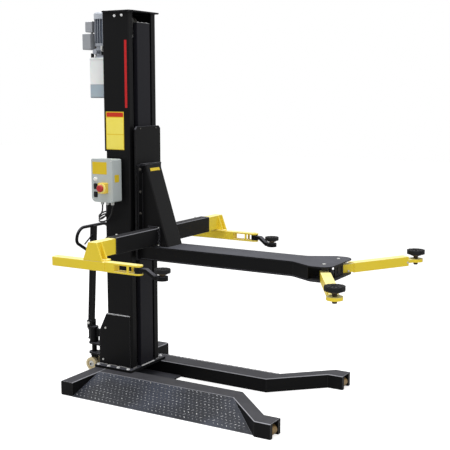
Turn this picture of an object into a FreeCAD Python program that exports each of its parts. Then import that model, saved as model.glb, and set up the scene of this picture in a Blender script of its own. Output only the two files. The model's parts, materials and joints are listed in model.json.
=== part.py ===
import FreeCAD, Part

# Mobile single-post car lift, in millimetres.
# +X runs forward along the main arm, +Y to the left and +Z up.
# The origin is the middle of the rear crossbar's underside, where it stands on the floor.
# Right-hand pieces (-Y) are modelled and the left-hand ones are their mirror images.

import math
import os

from FreeCAD import Vector

X = Vector(1, 0, 0)
Y = Vector(0, 1, 0)
Z = Vector(0, 0, 1)

# Base frame: crossbar, legs, ramps and base plate
crossbar_width = 95.0
crossbar_half_length = 565.0
crossbar_wall = 6.0
drain_hole_radius = 7.0
drain_hole_inset = 70.0
frame_height = 94.0
frame_corner = 8.0
leg_width = 130.0
leg_inner_y = 153.0
leg_wall = 6.0
leg_bend_x = 1105.0
leg_bend_run = 313.0
leg_bend_offset = 302.0
leg_tip_length = 107.0
ramp_run = 286.0
ramp_sheet = 5.0
base_plate_thickness = 18.0
base_plate_corner = 3.0
base_plate_half_width = 207.0
base_plate_rear_x = -50.0
base_plate_front_margin = 23.0
floor_plate_front_x = 430.0
floor_plate_thickness = 10.0
leg_roller_radius = 32.0
leg_roller_width = 62.0
leg_roller_floor_gap = 1.0
leg_roller_set_back = 34.0
leg_roller_side_gap = 6.0
leg_axle_radius = 9.0
leg_roller_chamfer = 3.0

# Column: two channels that face each other, closed at the rear, with a raised front cover
column_rear_x = 31.0
column_depth = 209.0
column_half_width = 157.0
column_wall = 8.0
column_corner = 10.0
rail_lip = 50.0
rail_notch = (20.0, 42.0, 1480.0, 1590.0)
column_top_z = 2500.0
cover_half_width = 72.0
cover_proud = 12.0
cover_sheet = 3.0
cover_return = 30.0
cover_top_gap = 66.0
top_plate_thickness = 8.0
top_plate_side_overhang = 20.0
top_plate_front_overhang = 31.0
top_plate_rear_overhang = 6.0
top_plate_corner = 24.0
gusset_sheet = 6.0
gusset_height = 360.0
gusset_front_set_back = 15.0
gusset_rear_x = -36.0
gusset_slope_drop = 120.0
gusset_top_set_back = 5.0
gusset_rear_taper = 3.0

# Lifting gear inside the column
cylinder_radius = 38.0
cylinder_length = 1360.0
rod_radius = 22.5
sheave_radius = 52.0
sheave_width = 34.0
sheave_top_gap = 14.0
chain_thickness = 9.0
chain_width = 26.0
chain_anchor_height = 30.0
chain_fit = 0.3
cylinder_foot_height = 24.0
cylinder_foot_rim = 9.0
cylinder_gland_height = 60.0
cylinder_gland_rim = 5.0
sheave_fork_drop = 30.0
sheave_fork_half_depth = 26.0
sheave_cheek = 8.0
sheave_side_gap = 2.0
sheave_axle_radius = 12.0
sheave_axle_reach = 6.0
sheave_rim = 6.0
sheave_groove_gap = 1.0
sheave_fork_floor = 18.0
chain_anchor_rim = (3.0, 6.0)

# Carriage
lift_clearance = 6.0
carriage_thickness = 12.0
carriage_half_width = 142.5
carriage_bottom_z = 866.0
carriage_height = 891.0
carriage_corner = 18.0
slide_plate_thickness = 12.0
slide_plate_bottom_rise = 84.0
slide_plate_top_drop = 17.0
slide_plate_reach = 209.0
slide_roller_radius = 45.0
slide_roller_width = 46.0
slide_roller_fit = 0.5
slide_roller_inset = 50.0
slide_pin_radius = 16.0
slide_boss = 1.0
slide_roller_chamfer = 3.0
clamp_bar_width = 44.0
clamp_bar_thickness = 10.0
clamp_bar_inset = 8.0

# Main arm with its flared head
arm_half_width = 108.0
arm_height = 96.0
arm_plate = 8.0
arm_side_sheet = 8.0
arm_plate_edge = 2.5
arm_side_inset = 3.0
arm_side_end = 20.0
flare_start_x = 1420.0
flare_end_x = 1577.0
head_half_width = 195.0
pivot_x = 1631.0
pivot_y = 107.0
pivot_pin_radius = 15.0
pivot_spacer_rim = 10.0
head_nose = 72.0
head_corner_radius = 68.0
head_flare_radius = 60.0
head_web_half_width = 62.0
head_web_slot = (14.0, 44.0)
head_web_set_back = 20.0
head_web_slot_y = 30.0

# Brace and crossbeam
brace_half_width = 87.0
brace_sheet = 10.0
brace_bend_radius = 9.0
brace_top_z = 1504.0
brace_top_depth = 39.0
brace_foot_depth = 212.0
brace_cap_thickness = 8.0
brace_cap_rim = (4.0, 3.0)
crossbeam_bottom_z = 977.0
crossbeam_height = 110.0
crossbeam_rear_gap = 66.0
crossbeam_depth = 74.0
crossbeam_wall = 6.0
crossbeam_corner = 7.0
crossbeam_half_length = 552.0
crossbeam_flange = 10.0
crossbeam_flange_rim = 8.0

# Front arms
front_arm_angle = 60.4
arm_tube = 52.0
arm_tube_wall = 5.0
arm_tube_length = 480.0
arm_root_solid = 14.0
arm_fit = 0.5
arm_seat_gap = 0.5
sleeve_wall = 4.5
sleeve_start = 101.0
sleeve_tail = 61.0
tongue_inset = 4.0
sleeve_length = arm_tube_length + sleeve_tail - sleeve_start
ring_reach = 85.0
front_pad_reach = sleeve_start + sleeve_length + ring_reach
ring_thickness = 20.0
front_ring_radius = 46.0
front_ring_below_top = 24.0
front_pad_radius = 59.0
front_pad_thickness = 27.0
front_pad_top_z = 965.0
front_screw_radius = 15.0
front_screw_bottom_z = 868.0
pad_cup_thickness = 8.0
pad_cup_share = 0.62
pad_edge = 4.0
screw_chamfer = 2.0
screw_fit = 0.3

# Rear outriggers
cross_tube_fit = 0.5
cross_tube_wall = 5.0
cross_tube_overlap = 302.0
outrigger_tube = 60.0
outrigger_tube_wall = 5.0
outrigger_corner = 6.0
outrigger_outer_y = 747.0
outrigger_bottom_z = 908.0
outrigger_rear_x = 65.0
outrigger_front_x = 473.0
trapezoid_plate = 12.0
trapezoid_foot_margin = 42.0
pin_tab_length = 66.0
pin_tab_width = 62.0
pin_tab_thickness = 8.0
pin_tab_hole = 9.0
pin_tab_hole_inset = 26.0
pin_tab_offset = 12.0
pin_tab_corner = 16.0
fork_fit = 0.5
fork_spigot_wall = 5.0
fork_spigot_length = 280.0
fork_plate = 10.0
fork_block_length = 70.0
fork_tip_radius = 27.0
fork_end_gap = 0.5
fork_reach = 233.0
fork_web_x = 178.0
fork_web_width = 14.0
fork_web_thickness = 6.0
swing_arm_length = 156.0
swing_arm_angle = 9.2
swing_lug_radius = 24.0
swing_lug_gap = 0.5
swing_bar_width = 36.0
swing_bar_thickness = 24.0
swing_drop = 38.0
swing_step_start = 54.0
swing_step_length = 56.0
swing_pin_radius = 10.0
swing_pin_reach = 4.0
collar_radius = 34.0
collar_height = 26.0
rear_pad_radius = 49.0
rear_pad_thickness = 25.0
rear_pad_top_z = 957.0
rear_screw_radius = 12.0
rear_screw_bottom_z = 883.0

# Control box on the column's right side
control_gap = 20.0
control_depth = 100.0
control_rear_x = 15.0
control_width = 170.0
control_bottom_z = 1262.0
control_height = 282.0
control_corner = 10.0
control_low_corner = 34.0
control_cover_depth = 22.0
control_cover_rim = 2.0
control_stand_off_inset = 38.0
control_stand_off_rise = 50.0
control_stand_off_half = 15.0
lamp_radius = 12.0
lamp_bezel = 3.0
lamp_reach = 12.0
lamp_edge = 4.0
button_radius = 11.0
button_depth = 14.0
button_reach = 8.0
button_edge = 2.0
stop_radius = 24.0
stop_stem_radius = 12.0
stop_cap_thickness = 16.0
stop_cap_gap = 10.0
stop_cap_edge = 8.0
stop_plate_width = 62.0
stop_plate_height = 70.0
stop_plate_thickness = 32.0
stop_plate_corner = 7.0
stop_plate_edge = 3.0
stop_bore_floor = 6.0
stop_place = (104.0, 94.0)
button_inset = 33.0
button_rises = (102.0, 48.0)
lamp_rise = 150.0
button_travel = 4.0
button_fit = 0.4
gland_radius = 12.0
gland_length = 24.0
gland_nut_height = 8.0
gland_nut_share = 1.15
gland_body_inset = 2.0
gland_inset = 46.0
gland_set_back = 48.0
gland_spacing = 42.0
cable_radius = 5.0
cable_layer = 16.0
cable_route = ((48.0, 6.0, -78.0), (8.0, 18.0, -102.0), (-34.0, 42.0, -110.0),
               (-66.0, 82.0, -104.0), (-70.0, 124.0, -92.0), (-70.0, 150.0, -88.0),
               (-56.0, 174.0, -86.0), (-32.0, 188.0, -84.0), (0.0, 188.0, -84.0))
cable_gathering = (0.8, 0.5, 0.0, 0.0, 0.0, 0.0, 0.0, 0.0, 0.0)
cable_straight = 36.0

# Power unit behind the column
power_axis_x = -62.0
power_unit_height = 559.0
reservoir_depth = 168.0
reservoir_half_width = 84.0
reservoir_bottom_z = column_top_z - power_unit_height
reservoir_height = 271.0
reservoir_corner = 22.0
reservoir_foot_edge = 8.0
pump_block_depth = 104.0
pump_block_half_width = 52.0
pump_block_height = 78.0
pump_block_corner = 8.0
pump_flange_radius = 74.0
pump_flange_thickness = 10.0
pump_valve_rise = 38.0
pump_valve_set_back = 18.0
pump_valve_radius = 13.0
pump_valve_length = 34.0
pump_knob_radius = 17.0
pump_knob_length = 14.0
pump_cartridge_radius = 11.0
pump_cartridge_length = 30.0
motor_radius = 66.0
motor_height = 178.0
motor_fin_height = 9.0
motor_fin_thickness = 3.2
motor_fin_count = 24
motor_shield_height = 16.0
fan_cover_radius = 78.0
fan_cover_height = 44.0
fan_cover_edge = 14.0
bracket_sheet = 6.0
bracket_rises = (16.0, 10.0)
bracket_back_rims = (20.0, 30.0)
bracket_cheek_set_back = 6.0
motor_box_corner = 6.0
terminal_box = (46.0, 56.0, 94.0, 72.0, -6.0)
capacitor_box = (54.0, 66.0, -24.0, 108.0, -18.0)

# Steering trolley and tow handle at the rear
steer_axis_x = -214.0
steer_post_radius = 18.0
steer_fit = 0.3
ear_thickness = 12.0
lower_ear_z = 120.0
upper_ear_z = 192.0
ear_root_half_width = 62.0
ear_tip_radius = 38.0
steering_plate_thickness = 10.0
steering_plate_height = 200.0
steering_plate_gap = 2.0
steering_plate_inset = 6.0
steer_wheel_radius = 46.0
steer_wheel_width = 32.0
steer_wheel_gap = 1.0
steer_wheel_edge = 5.0
steer_wheel_recess = (28.0, 7.0)
wheel_floor_gap = 1.0
wheel_axle_radius = 8.0
fork_block_half_width = 11.0
pump_body_radius = 32.0
pump_body_height = 112.0
collar_rim = 8.0
collar_depth = 12.0
post_foot_drop = 16.0
post_head_reach = 10.0
ear_foot_gap = 4.0
axle_end_reach = 4.0
fork_leg_half_depth = 20.0
yoke_half_depth = 18.0
yoke_saddle_height = 12.0
pedal_lever = ((20.0, 30.0), (96.0, 66.0), (96.0, 92.0), (20.0, 100.0))
rest_rod_radius = 5.0
rest_rod_rise = 14.0
rest_rod_length = 84.0
rest_rod_set_back = 12.0
rest_lug = (6.0, 18.0, 7.0, 10.0, 16.0)
pedal_half_width = 9.0
handle_pivot_z = 345.0
handle_pivot_set_back = 22.0
handle_lean = 3.1
handle_post_depth = 34.0
handle_post_half_width = 18.0
handle_post_wall = 4.0
handle_slot_half_width = 7.0
handle_slot_length = 130.0
handle_side_gap = 0.5
handle_foot_inset = 1.0
grip_root_inset = 6.0
yoke_ear_thickness = 10.0
handle_top_z = 1062.0
grip_radius = 11.0
grip_half_width = 184.0
grip_bend_radius = 78.0
grip_low_bend_radius = 40.0
grip_low_z = 850.0
grip_side_z = 950.0
lever_radius = 5.0
lever_run = (-84.0, -58.0)
lever_rise = 136.0


def box(x0, x1, y0, y1, z0, z1):
    """A block between two corners."""
    return Part.makeBox(x1 - x0, y1 - y0, z1 - z0, Vector(x0, y0, z0))


def centred_box(x0, x1, half_width, z0, z1):
    """A block that is symmetric about the centre plane."""
    return box(x0, x1, -half_width, half_width, z0, z1)


def rod(start, radius, length, axis=Z):
    """A round bar from a point along an axis."""
    return Part.makeCylinder(radius, length, Vector(*start), axis)


def plate_xy(points, z0, thickness):
    """An outline in plan, made thick upwards."""
    outline = [Vector(px, py, z0) for px, py in points]
    return Part.Face(Part.makePolygon(outline + outline[:1])).extrude(Z * thickness)


def plate_xz(points, y0, thickness):
    """An outline seen from the side, made thick along +Y."""
    outline = [Vector(px, y0, pz) for px, pz in points]
    return Part.Face(Part.makePolygon(outline + outline[:1])).extrude(Y * thickness)


def mirrored(shape):
    """The left-hand copy of a right-hand piece."""
    return shape.mirror(Vector(0, 0, 0), Y)


def pair(shape):
    """A right-hand piece and its left-hand copy, as two solids of one node."""
    return Part.makeCompound([shape, mirrored(shape)])


def turned(shape, centre, degrees):
    """A copy turned about an upright axis."""
    copy = shape.copy()
    copy.rotate(Vector(*centre), Z, degrees)
    return copy


def fuse(first, *others):
    """One solid from touching pieces, with the seams removed."""
    return first.fuse(list(others)).removeSplitter()


def edges_where(shape, test):
    """The edges whose two ends both pass a test."""
    return [edge for edge in shape.Edges if all(test(v.Point) for v in edge.Vertexes)]


def long_edges(shape, extent, length):
    """The straight edges whose run along one axis has a length."""
    return [edge for edge in shape.Edges if abs(getattr(edge.BoundBox, extent) - length) < 1e-4]


def upright_edges(shape, test=lambda point: True):
    """The straight edges along Z that pass a test on their places."""
    found = []
    for edge in edges_where(shape, test):
        if len(edge.Vertexes) == 2:
            run = edge.Vertexes[1].Point - edge.Vertexes[0].Point
            if abs(run.x) + abs(run.y) < 1e-6:
                found.append(edge)
    return found


def rounded_path(points, radii):
    """A wire of straight runs joined by tangent arcs."""
    edges = []
    start = points[0]
    for before, corner, after, radius in zip(points, points[1:], points[2:], radii):
        inward = (before - corner).normalize()
        outward = (after - corner).normalize()
        half_turn = (math.pi - inward.getAngle(outward)) / 2
        reach = radius * math.tan(half_turn)
        middle = (inward + outward).normalize() * (radius / math.cos(half_turn) - radius)
        enter = corner + inward * reach
        leave = corner + outward * reach
        edges.append(Part.makeLine(start, enter))
        edges.append(Part.Arc(enter, corner + middle, leave).toShape())
        start = leave
    edges.append(Part.makeLine(start, points[-1]))
    return Part.Wire(edges)


def swept_tube(path, radius):
    """A round bar along a wire."""
    start = path.Edges[0].Vertexes[0].Point
    direction = path.Edges[0].tangentAt(path.Edges[0].FirstParameter)
    profile = Part.Wire(Part.makeCircle(radius, start, direction))
    return path.makePipeShell([profile], True, False)


# Places that several pieces share
base_top_z = frame_height + base_plate_thickness
column_front_x = column_rear_x + column_depth
base_plate_front_x = column_front_x + base_plate_front_margin
crossbar_front_x = crossbar_width / 2
leg_outer_y = leg_inner_y + leg_width
leg_tip_x = leg_bend_x + leg_bend_run + leg_tip_length
leg_roller_x = leg_tip_x - leg_roller_set_back
leg_roller_z = leg_roller_radius + leg_roller_floor_gap
leg_tip_centre_y = leg_inner_y + leg_bend_offset + leg_width / 2

carriage_back_x = base_plate_front_x + lift_clearance
carriage_front_x = carriage_back_x + carriage_thickness
carriage_top_z = carriage_bottom_z + carriage_height
rail_lip_y = column_half_width - rail_lip
slot_middle_y = (cover_half_width + rail_lip_y) / 2
arm_bottom_z = carriage_bottom_z
arm_top_z = arm_bottom_z + arm_height
crossbeam_rear_x = carriage_front_x + crossbeam_rear_gap
crossbeam_front_x = crossbeam_rear_x + crossbeam_depth
crossbeam_top_z = crossbeam_bottom_z + crossbeam_height
crossbeam_root_y = brace_half_width
crossbeam_middle_x = (crossbeam_rear_x + crossbeam_front_x) / 2

head_front_x = pivot_x + head_nose
arm_tube_bottom_z = arm_bottom_z + arm_plate + arm_seat_gap
arm_tube_top_z = arm_tube_bottom_z + arm_tube
sleeve_half = arm_tube / 2 + arm_fit + sleeve_wall
sleeve_middle_z = arm_tube_bottom_z + arm_tube / 2
front_ring_top_z = sleeve_middle_z + sleeve_half - front_ring_below_top

outrigger_top_z = outrigger_bottom_z + outrigger_tube
outrigger_inner_y = outrigger_outer_y - outrigger_tube
outrigger_middle_y = (outrigger_outer_y + outrigger_inner_y) / 2
outrigger_middle_z = outrigger_bottom_z + outrigger_tube / 2
fork_start_x = outrigger_front_x + fork_end_gap
swing_pivot_x = outrigger_front_x + fork_reach
swing_lug_top_z = outrigger_top_z - fork_plate - swing_lug_gap
swing_lug_bottom_z = outrigger_bottom_z + fork_plate + swing_lug_gap

control_inner_y = column_half_width + control_gap
control_face_y = control_inner_y + control_depth
pump_block_z = reservoir_bottom_z + reservoir_height
motor_bottom_z = pump_block_z + pump_block_height
steer_wheel_z = steer_wheel_radius + wheel_floor_gap
handle_pivot_x = steer_axis_x - handle_pivot_set_back
upper_ear_top_z = upper_ear_z + ear_thickness


# Base frame

def make_rear_crossbar():
    """A closed square tube across the rear, with a drain hole near each end underneath."""
    outer = centred_box(-crossbar_front_x, crossbar_front_x, crossbar_half_length, 0, frame_height)
    outer = outer.makeFillet(frame_corner, long_edges(outer, "YLength", 2 * crossbar_half_length))
    inner = centred_box(-crossbar_front_x + crossbar_wall, crossbar_front_x - crossbar_wall,
                        crossbar_half_length - crossbar_wall, crossbar_wall, frame_height - crossbar_wall)
    bar = outer.cut(inner)
    for side in (-1, 1):
        hole_y = side * (crossbar_half_length - drain_hole_inset)
        bar = bar.cut(rod((0, hole_y, -1), drain_hole_radius, crossbar_wall + 2))
    return bar


def leg_outline(inset, rear_x, front_x):
    """The right leg in plan: straight, then slanting outwards, then straight to the tip."""
    bend_end_x = leg_bend_x + leg_bend_run
    inner_y = -leg_inner_y - inset
    outer_y = -leg_outer_y + inset
    return [(rear_x, inner_y), (leg_bend_x, inner_y), (bend_end_x, inner_y - leg_bend_offset),
            (front_x, inner_y - leg_bend_offset), (front_x, outer_y - leg_bend_offset),
            (bend_end_x, outer_y - leg_bend_offset), (leg_bend_x, outer_y), (rear_x, outer_y)]


def make_right_leg():
    """A bent box leg that butts against the crossbar and carries a roller in its tip."""
    leg = plate_xy(leg_outline(0, crossbar_front_x, leg_tip_x), 0, frame_height)
    leg = leg.makeFillet(frame_corner, [edge for edge in leg.Edges if edge.BoundBox.ZMin > frame_height - 1
                                        and edge.BoundBox.XLength > 1])
    pocket_length = leg_roller_set_back + leg_roller_radius + leg_roller_side_gap
    hollow_front = leg_tip_x - pocket_length - leg_wall
    hollow = plate_xy(leg_outline(leg_wall, crossbar_front_x - 1, hollow_front),
                      leg_wall, frame_height - 2 * leg_wall)
    leg = leg.cut(hollow)
    half_pocket = leg_roller_width / 2 + leg_roller_side_gap
    pocket = box(leg_tip_x - pocket_length, leg_tip_x + 1, -leg_tip_centre_y - half_pocket,
                 -leg_tip_centre_y + half_pocket, -1, frame_height - leg_wall)
    leg = leg.cut(pocket)
    axle = rod((leg_roller_x, -leg_tip_centre_y - half_pocket, leg_roller_z), leg_axle_radius,
               2 * half_pocket, Y)
    return fuse(leg, axle)


def make_right_leg_roller():
    """A barrel roller with chamfered rims and a bore for the axle."""
    half = leg_roller_width / 2
    chamfer = leg_roller_chamfer
    bore = leg_axle_radius + steer_fit
    profile = [(bore, -half), (leg_roller_radius - chamfer, -half), (leg_roller_radius, -half + chamfer),
               (leg_roller_radius, half - chamfer), (leg_roller_radius - chamfer, half), (bore, half)]
    points = [Vector(leg_roller_x + r, -leg_tip_centre_y + t, leg_roller_z) for r, t in profile]
    face = Part.Face(Part.makePolygon(points + points[:1]))
    return face.revolve(Vector(leg_roller_x, 0, leg_roller_z), Y, 360)


def ramp_wedge(inset, rear_x):
    """The space under a ramp, cut at the front by the slanting part of the leg."""
    slope = frame_height / ramp_run
    drop = inset * math.hypot(1, slope)
    top_z = frame_height - drop
    foot_y = -leg_outer_y - top_z / slope
    section = [Vector(rear_x, -leg_outer_y, 0), Vector(rear_x, foot_y, 0),
               Vector(rear_x, -leg_outer_y, top_z)]
    long_x = leg_bend_x + leg_bend_run - rear_x
    wedge = Part.Face(Part.makePolygon(section + section[:1])).extrude(X * long_x)
    reach = ramp_run + 10
    slant_x = reach * leg_bend_run / leg_bend_offset
    back = -inset * math.hypot(1, leg_bend_run / leg_bend_offset)
    plan = [(rear_x - 1, -leg_outer_y + 1), (leg_bend_x + back, -leg_outer_y + 1),
            (leg_bend_x + back, -leg_outer_y), (leg_bend_x + back + slant_x, -leg_outer_y - reach),
            (rear_x - 1, -leg_outer_y - reach)]
    return wedge.common(plate_xy(plan, -1, frame_height + 2))


def make_right_ramp():
    """A folded tread plate on the leg's outer side, with end plates and an open underside."""
    shell = ramp_wedge(0, crossbar_front_x)
    return shell.cut(ramp_wedge(ramp_sheet, crossbar_front_x + ramp_sheet))


def make_base_plate():
    """The plate under the column on top of the frame, and the floor plate between the legs."""
    plate = centred_box(base_plate_rear_x, base_plate_front_x, base_plate_half_width,
                        frame_height, base_top_z)
    floor_plate = centred_box(crossbar_front_x, floor_plate_front_x, leg_inner_y,
                              0, floor_plate_thickness)
    return Part.makeCompound([plate.makeChamfer(base_plate_corner, upright_edges(plate)), floor_plate])


# Column

def make_right_rail():
    """A channel that opens inwards, with a lip at the front and the rear and a notch for cables."""
    outer = box(column_rear_x, column_front_x, -column_half_width, -rail_lip_y, base_top_z, column_top_z)
    inner = box(column_rear_x + column_wall, column_front_x - column_wall,
                -column_half_width + column_wall, -rail_lip_y + 1, base_top_z - 1, column_top_z + 1)
    outer = outer.makeFillet(column_corner, upright_edges(outer, lambda p: p.y < -rail_lip_y - 1))
    depth, width, notch_low_z, notch_high_z = rail_notch
    notch = box(column_rear_x - 1, column_rear_x + depth, -column_half_width - 1,
                -column_half_width + width, notch_low_z, notch_high_z)
    return outer.cut(inner).cut(notch)


def make_back_panel():
    """The plate that closes the rear between the two channels."""
    return centred_box(column_rear_x, column_rear_x + column_wall, rail_lip_y, base_top_z, column_top_z)


def make_front_cover():
    """A raised pan between the two slots, open at the back."""
    front_x = column_front_x + cover_proud
    top_z = column_top_z - cover_top_gap
    outer = centred_box(front_x - cover_return, front_x, cover_half_width, base_top_z, top_z)
    outer = outer.makeFillet(cover_sheet, upright_edges(outer, lambda p: p.x > front_x - 1))
    inner = centred_box(front_x - cover_return - 1, front_x - cover_sheet,
                        cover_half_width - cover_sheet, base_top_z - 1, top_z - cover_sheet)
    return outer.cut(inner)


def make_top_plate():
    """The column's lid, wider than the column, with cut corners."""
    plate = centred_box(column_rear_x - top_plate_rear_overhang, column_front_x + top_plate_front_overhang,
                        column_half_width + top_plate_side_overhang,
                        column_top_z, column_top_z + top_plate_thickness)
    return plate.makeChamfer(top_plate_corner, upright_edges(plate))


def make_foot_gussets():
    """A stiffening sheet on each side of the column's foot, with its rear top corner cut off."""
    top_z = base_top_z + gusset_height
    outline = [(gusset_rear_x, base_top_z), (column_front_x - gusset_front_set_back, base_top_z),
               (column_front_x - gusset_front_set_back, top_z),
               (column_rear_x - gusset_top_set_back, top_z),
               (gusset_rear_x + gusset_rear_taper, top_z - gusset_slope_drop)]
    return pair(plate_xz(outline, -column_half_width - gusset_sheet, gusset_sheet))


column_middle_x = column_rear_x + column_depth / 2
sheave_z = column_top_z - sheave_top_gap - sheave_radius - chain_thickness
sheave_fork_z = sheave_z - sheave_radius - sheave_fork_drop


def make_lift_cylinder():
    """The hydraulic cylinder on the base plate, with its gland and rod up to the sheave fork."""
    barrel_top = base_top_z + cylinder_length
    body = rod((column_middle_x, 0, base_top_z), cylinder_radius + cylinder_foot_rim, cylinder_foot_height)
    barrel = rod((column_middle_x, 0, base_top_z), cylinder_radius, cylinder_length)
    gland = rod((column_middle_x, 0, barrel_top - cylinder_gland_height),
                cylinder_radius + cylinder_gland_rim, cylinder_gland_height)
    piston_rod = rod((column_middle_x, 0, barrel_top), rod_radius, sheave_fork_z - barrel_top)
    return fuse(body, barrel, gland, piston_rod)


def make_chain_sheave():
    """A grooved sheave on its axle, between the two cheeks of a fork that stands on the rod."""
    half = sheave_width / 2
    outer = half + sheave_side_gap + sheave_cheek
    x0 = column_middle_x - sheave_fork_half_depth
    x1 = column_middle_x + sheave_fork_half_depth
    floor_z = sheave_fork_z + sheave_fork_floor
    top_z = sheave_z + sheave_fork_half_depth
    fork = centred_box(x0, x1, outer, sheave_fork_z, top_z)
    space = centred_box(x0 - 1, x1 + 1, half + sheave_side_gap, floor_z, top_z + 1)
    wheel = rod((column_middle_x, -half, sheave_z), sheave_radius + sheave_rim, sheave_width, Y)
    groove_half = chain_width / 2 + sheave_groove_gap
    ring = rod((column_middle_x, -groove_half, sheave_z), sheave_radius + sheave_rim + 1,
               2 * groove_half, Y)
    ring = ring.cut(rod((column_middle_x, -groove_half, sheave_z), sheave_radius, 2 * groove_half, Y))
    axle_half = outer + sheave_axle_reach
    axle = rod((column_middle_x, -axle_half, sheave_z), sheave_axle_radius, 2 * axle_half, Y)
    return fuse(fork.cut(space), wheel.cut(ring), axle)


def make_lift_chain():
    """A leaf chain over the sheave: two straight strands joined by an arc, with notched edges."""
    inner = sheave_radius + chain_fit
    outer = inner + chain_thickness
    half = chain_width / 2
    arc = rod((column_middle_x, -half, sheave_z), outer, chain_width, Y)
    arc = arc.cut(rod((column_middle_x, -half, sheave_z), inner, chain_width, Y))
    arc = arc.common(centred_box(column_middle_x - outer, column_middle_x + outer, half,
                                 sheave_z, sheave_z + outer))
    bottom = base_top_z + chain_anchor_height
    rim_x, rim_y = chain_anchor_rim
    strands = []
    for side in (-1, 1):
        x0, x1 = sorted((column_middle_x + side * inner, column_middle_x + side * outer))
        strands.append(centred_box(x0, x1, half, bottom, sheave_z))
        strands.append(centred_box(x0 - rim_x, x1 + rim_x, half + rim_y, base_top_z, bottom))
    return fuse(arc, *strands)


# Carriage

def make_carriage_plate():
    """The front plate that rides up and down ahead of the column."""
    plate = centred_box(carriage_back_x, carriage_front_x, carriage_half_width,
                        carriage_bottom_z, carriage_top_z)
    top = [edge for edge in plate.Edges if abs(edge.BoundBox.XLength - carriage_thickness) < 1e-6
           and edge.BoundBox.ZMin > carriage_top_z - 1 and edge.BoundBox.YLength < 1e-6]
    return plate.makeChamfer(carriage_corner, top)


def make_slide_plates():
    """Two plates that pass through the column's slots and carry the rollers."""
    half = slide_plate_thickness / 2
    plate = box(carriage_back_x - slide_plate_reach, carriage_back_x, -slot_middle_y - half,
                -slot_middle_y + half, carriage_bottom_z + slide_plate_bottom_rise,
                carriage_top_z - slide_plate_top_drop)
    return pair(plate)


def make_slide_rollers():
    """Rollers on the slide plates: the top pair on the front lips, the bottom pair on the rear lips."""
    inner_y = slot_middle_y + slide_plate_thickness / 2
    front_x = column_front_x - column_wall - slide_roller_fit - slide_roller_radius
    rear_x = column_rear_x + column_wall + slide_roller_fit + slide_roller_radius
    top_z = carriage_top_z - slide_plate_top_drop - slide_roller_inset
    bottom_z = carriage_bottom_z + slide_plate_bottom_rise + slide_roller_inset
    boss = slide_boss
    rollers = []
    for x, z in ((front_x, top_z), (rear_x, bottom_z)):
        hub = rod((x, -inner_y - boss, z), slide_pin_radius, boss, Y)
        wheel = rod((x, -inner_y - boss - slide_roller_width, z), slide_roller_radius,
                    slide_roller_width, Y)
        wheel = wheel.makeChamfer(slide_roller_chamfer, [edge for edge in wheel.Edges if edge.Closed])
        rollers.append(fuse(wheel, hub))
    return Part.makeCompound(rollers + [mirrored(roller) for roller in rollers])


def make_clamp_bars():
    """The two upright bars that are bolted on the carriage plate beside the brace."""
    edge_y = carriage_half_width - clamp_bar_inset
    bar = box(carriage_front_x, carriage_front_x + clamp_bar_thickness, -edge_y,
              -edge_y + clamp_bar_width, arm_top_z, brace_top_z)
    return pair(bar)


def make_brace():
    """A sloping box strut, open towards the carriage and the arm, with a cap on top."""
    top_x = carriage_front_x + brace_top_depth
    foot_x = carriage_front_x + brace_foot_depth
    outline = [(carriage_front_x, arm_top_z), (foot_x, arm_top_z), (top_x, brace_top_z),
               (carriage_front_x, brace_top_z)]
    outer = plate_xz(outline, -brace_half_width, 2 * brace_half_width)
    outer = outer.makeFillet(brace_bend_radius, [edge for edge in outer.Edges
                                                 if edge.BoundBox.XLength > 1 and edge.BoundBox.ZLength > 1])
    lean = math.hypot(1, (foot_x - top_x) / (brace_top_z - arm_top_z))
    inset = brace_sheet * lean
    hollow = [(carriage_front_x - 1, arm_top_z - 1), (foot_x - inset, arm_top_z - 1),
              (top_x - inset, brace_top_z), (carriage_front_x - 1, brace_top_z)]
    inner_half = brace_half_width - brace_sheet
    outer = outer.cut(plate_xz(hollow, -inner_half, 2 * inner_half))
    rim_x, rim_y = brace_cap_rim
    cap = centred_box(carriage_front_x, top_x + rim_x, brace_half_width + rim_y,
                      brace_top_z, brace_top_z + brace_cap_thickness)
    return fuse(outer, cap)


def make_crossbeam():
    """Two square tubes that stand out from the brace, each with a flange at its root."""
    root_y = -crossbeam_root_y
    end_y = -crossbeam_half_length
    outer = box(crossbeam_rear_x, crossbeam_front_x, end_y, root_y, crossbeam_bottom_z, crossbeam_top_z)
    outer = outer.makeFillet(crossbeam_corner, long_edges(outer, "YLength", root_y - end_y))
    inner = box(crossbeam_rear_x + crossbeam_wall, crossbeam_front_x - crossbeam_wall,
                end_y - 1, root_y - crossbeam_flange,
                crossbeam_bottom_z + crossbeam_wall, crossbeam_top_z - crossbeam_wall)
    flange = box(crossbeam_rear_x - crossbeam_flange_rim, crossbeam_front_x + crossbeam_flange_rim,
                 root_y - crossbeam_flange, root_y,
                 crossbeam_bottom_z - crossbeam_flange_rim, crossbeam_top_z + crossbeam_flange_rim)
    return pair(fuse(outer, flange).cut(inner))


def head_outline(inset):
    """The main arm in plan, from the carriage to the rounded head."""
    half = arm_half_width - inset
    head = head_half_width - inset
    front = head_front_x - inset
    return [(carriage_front_x, -half), (flare_start_x, -half), (flare_end_x, -head), (front, -head),
            (front, head), (flare_end_x, head), (flare_start_x, half), (carriage_front_x, half)]


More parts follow.
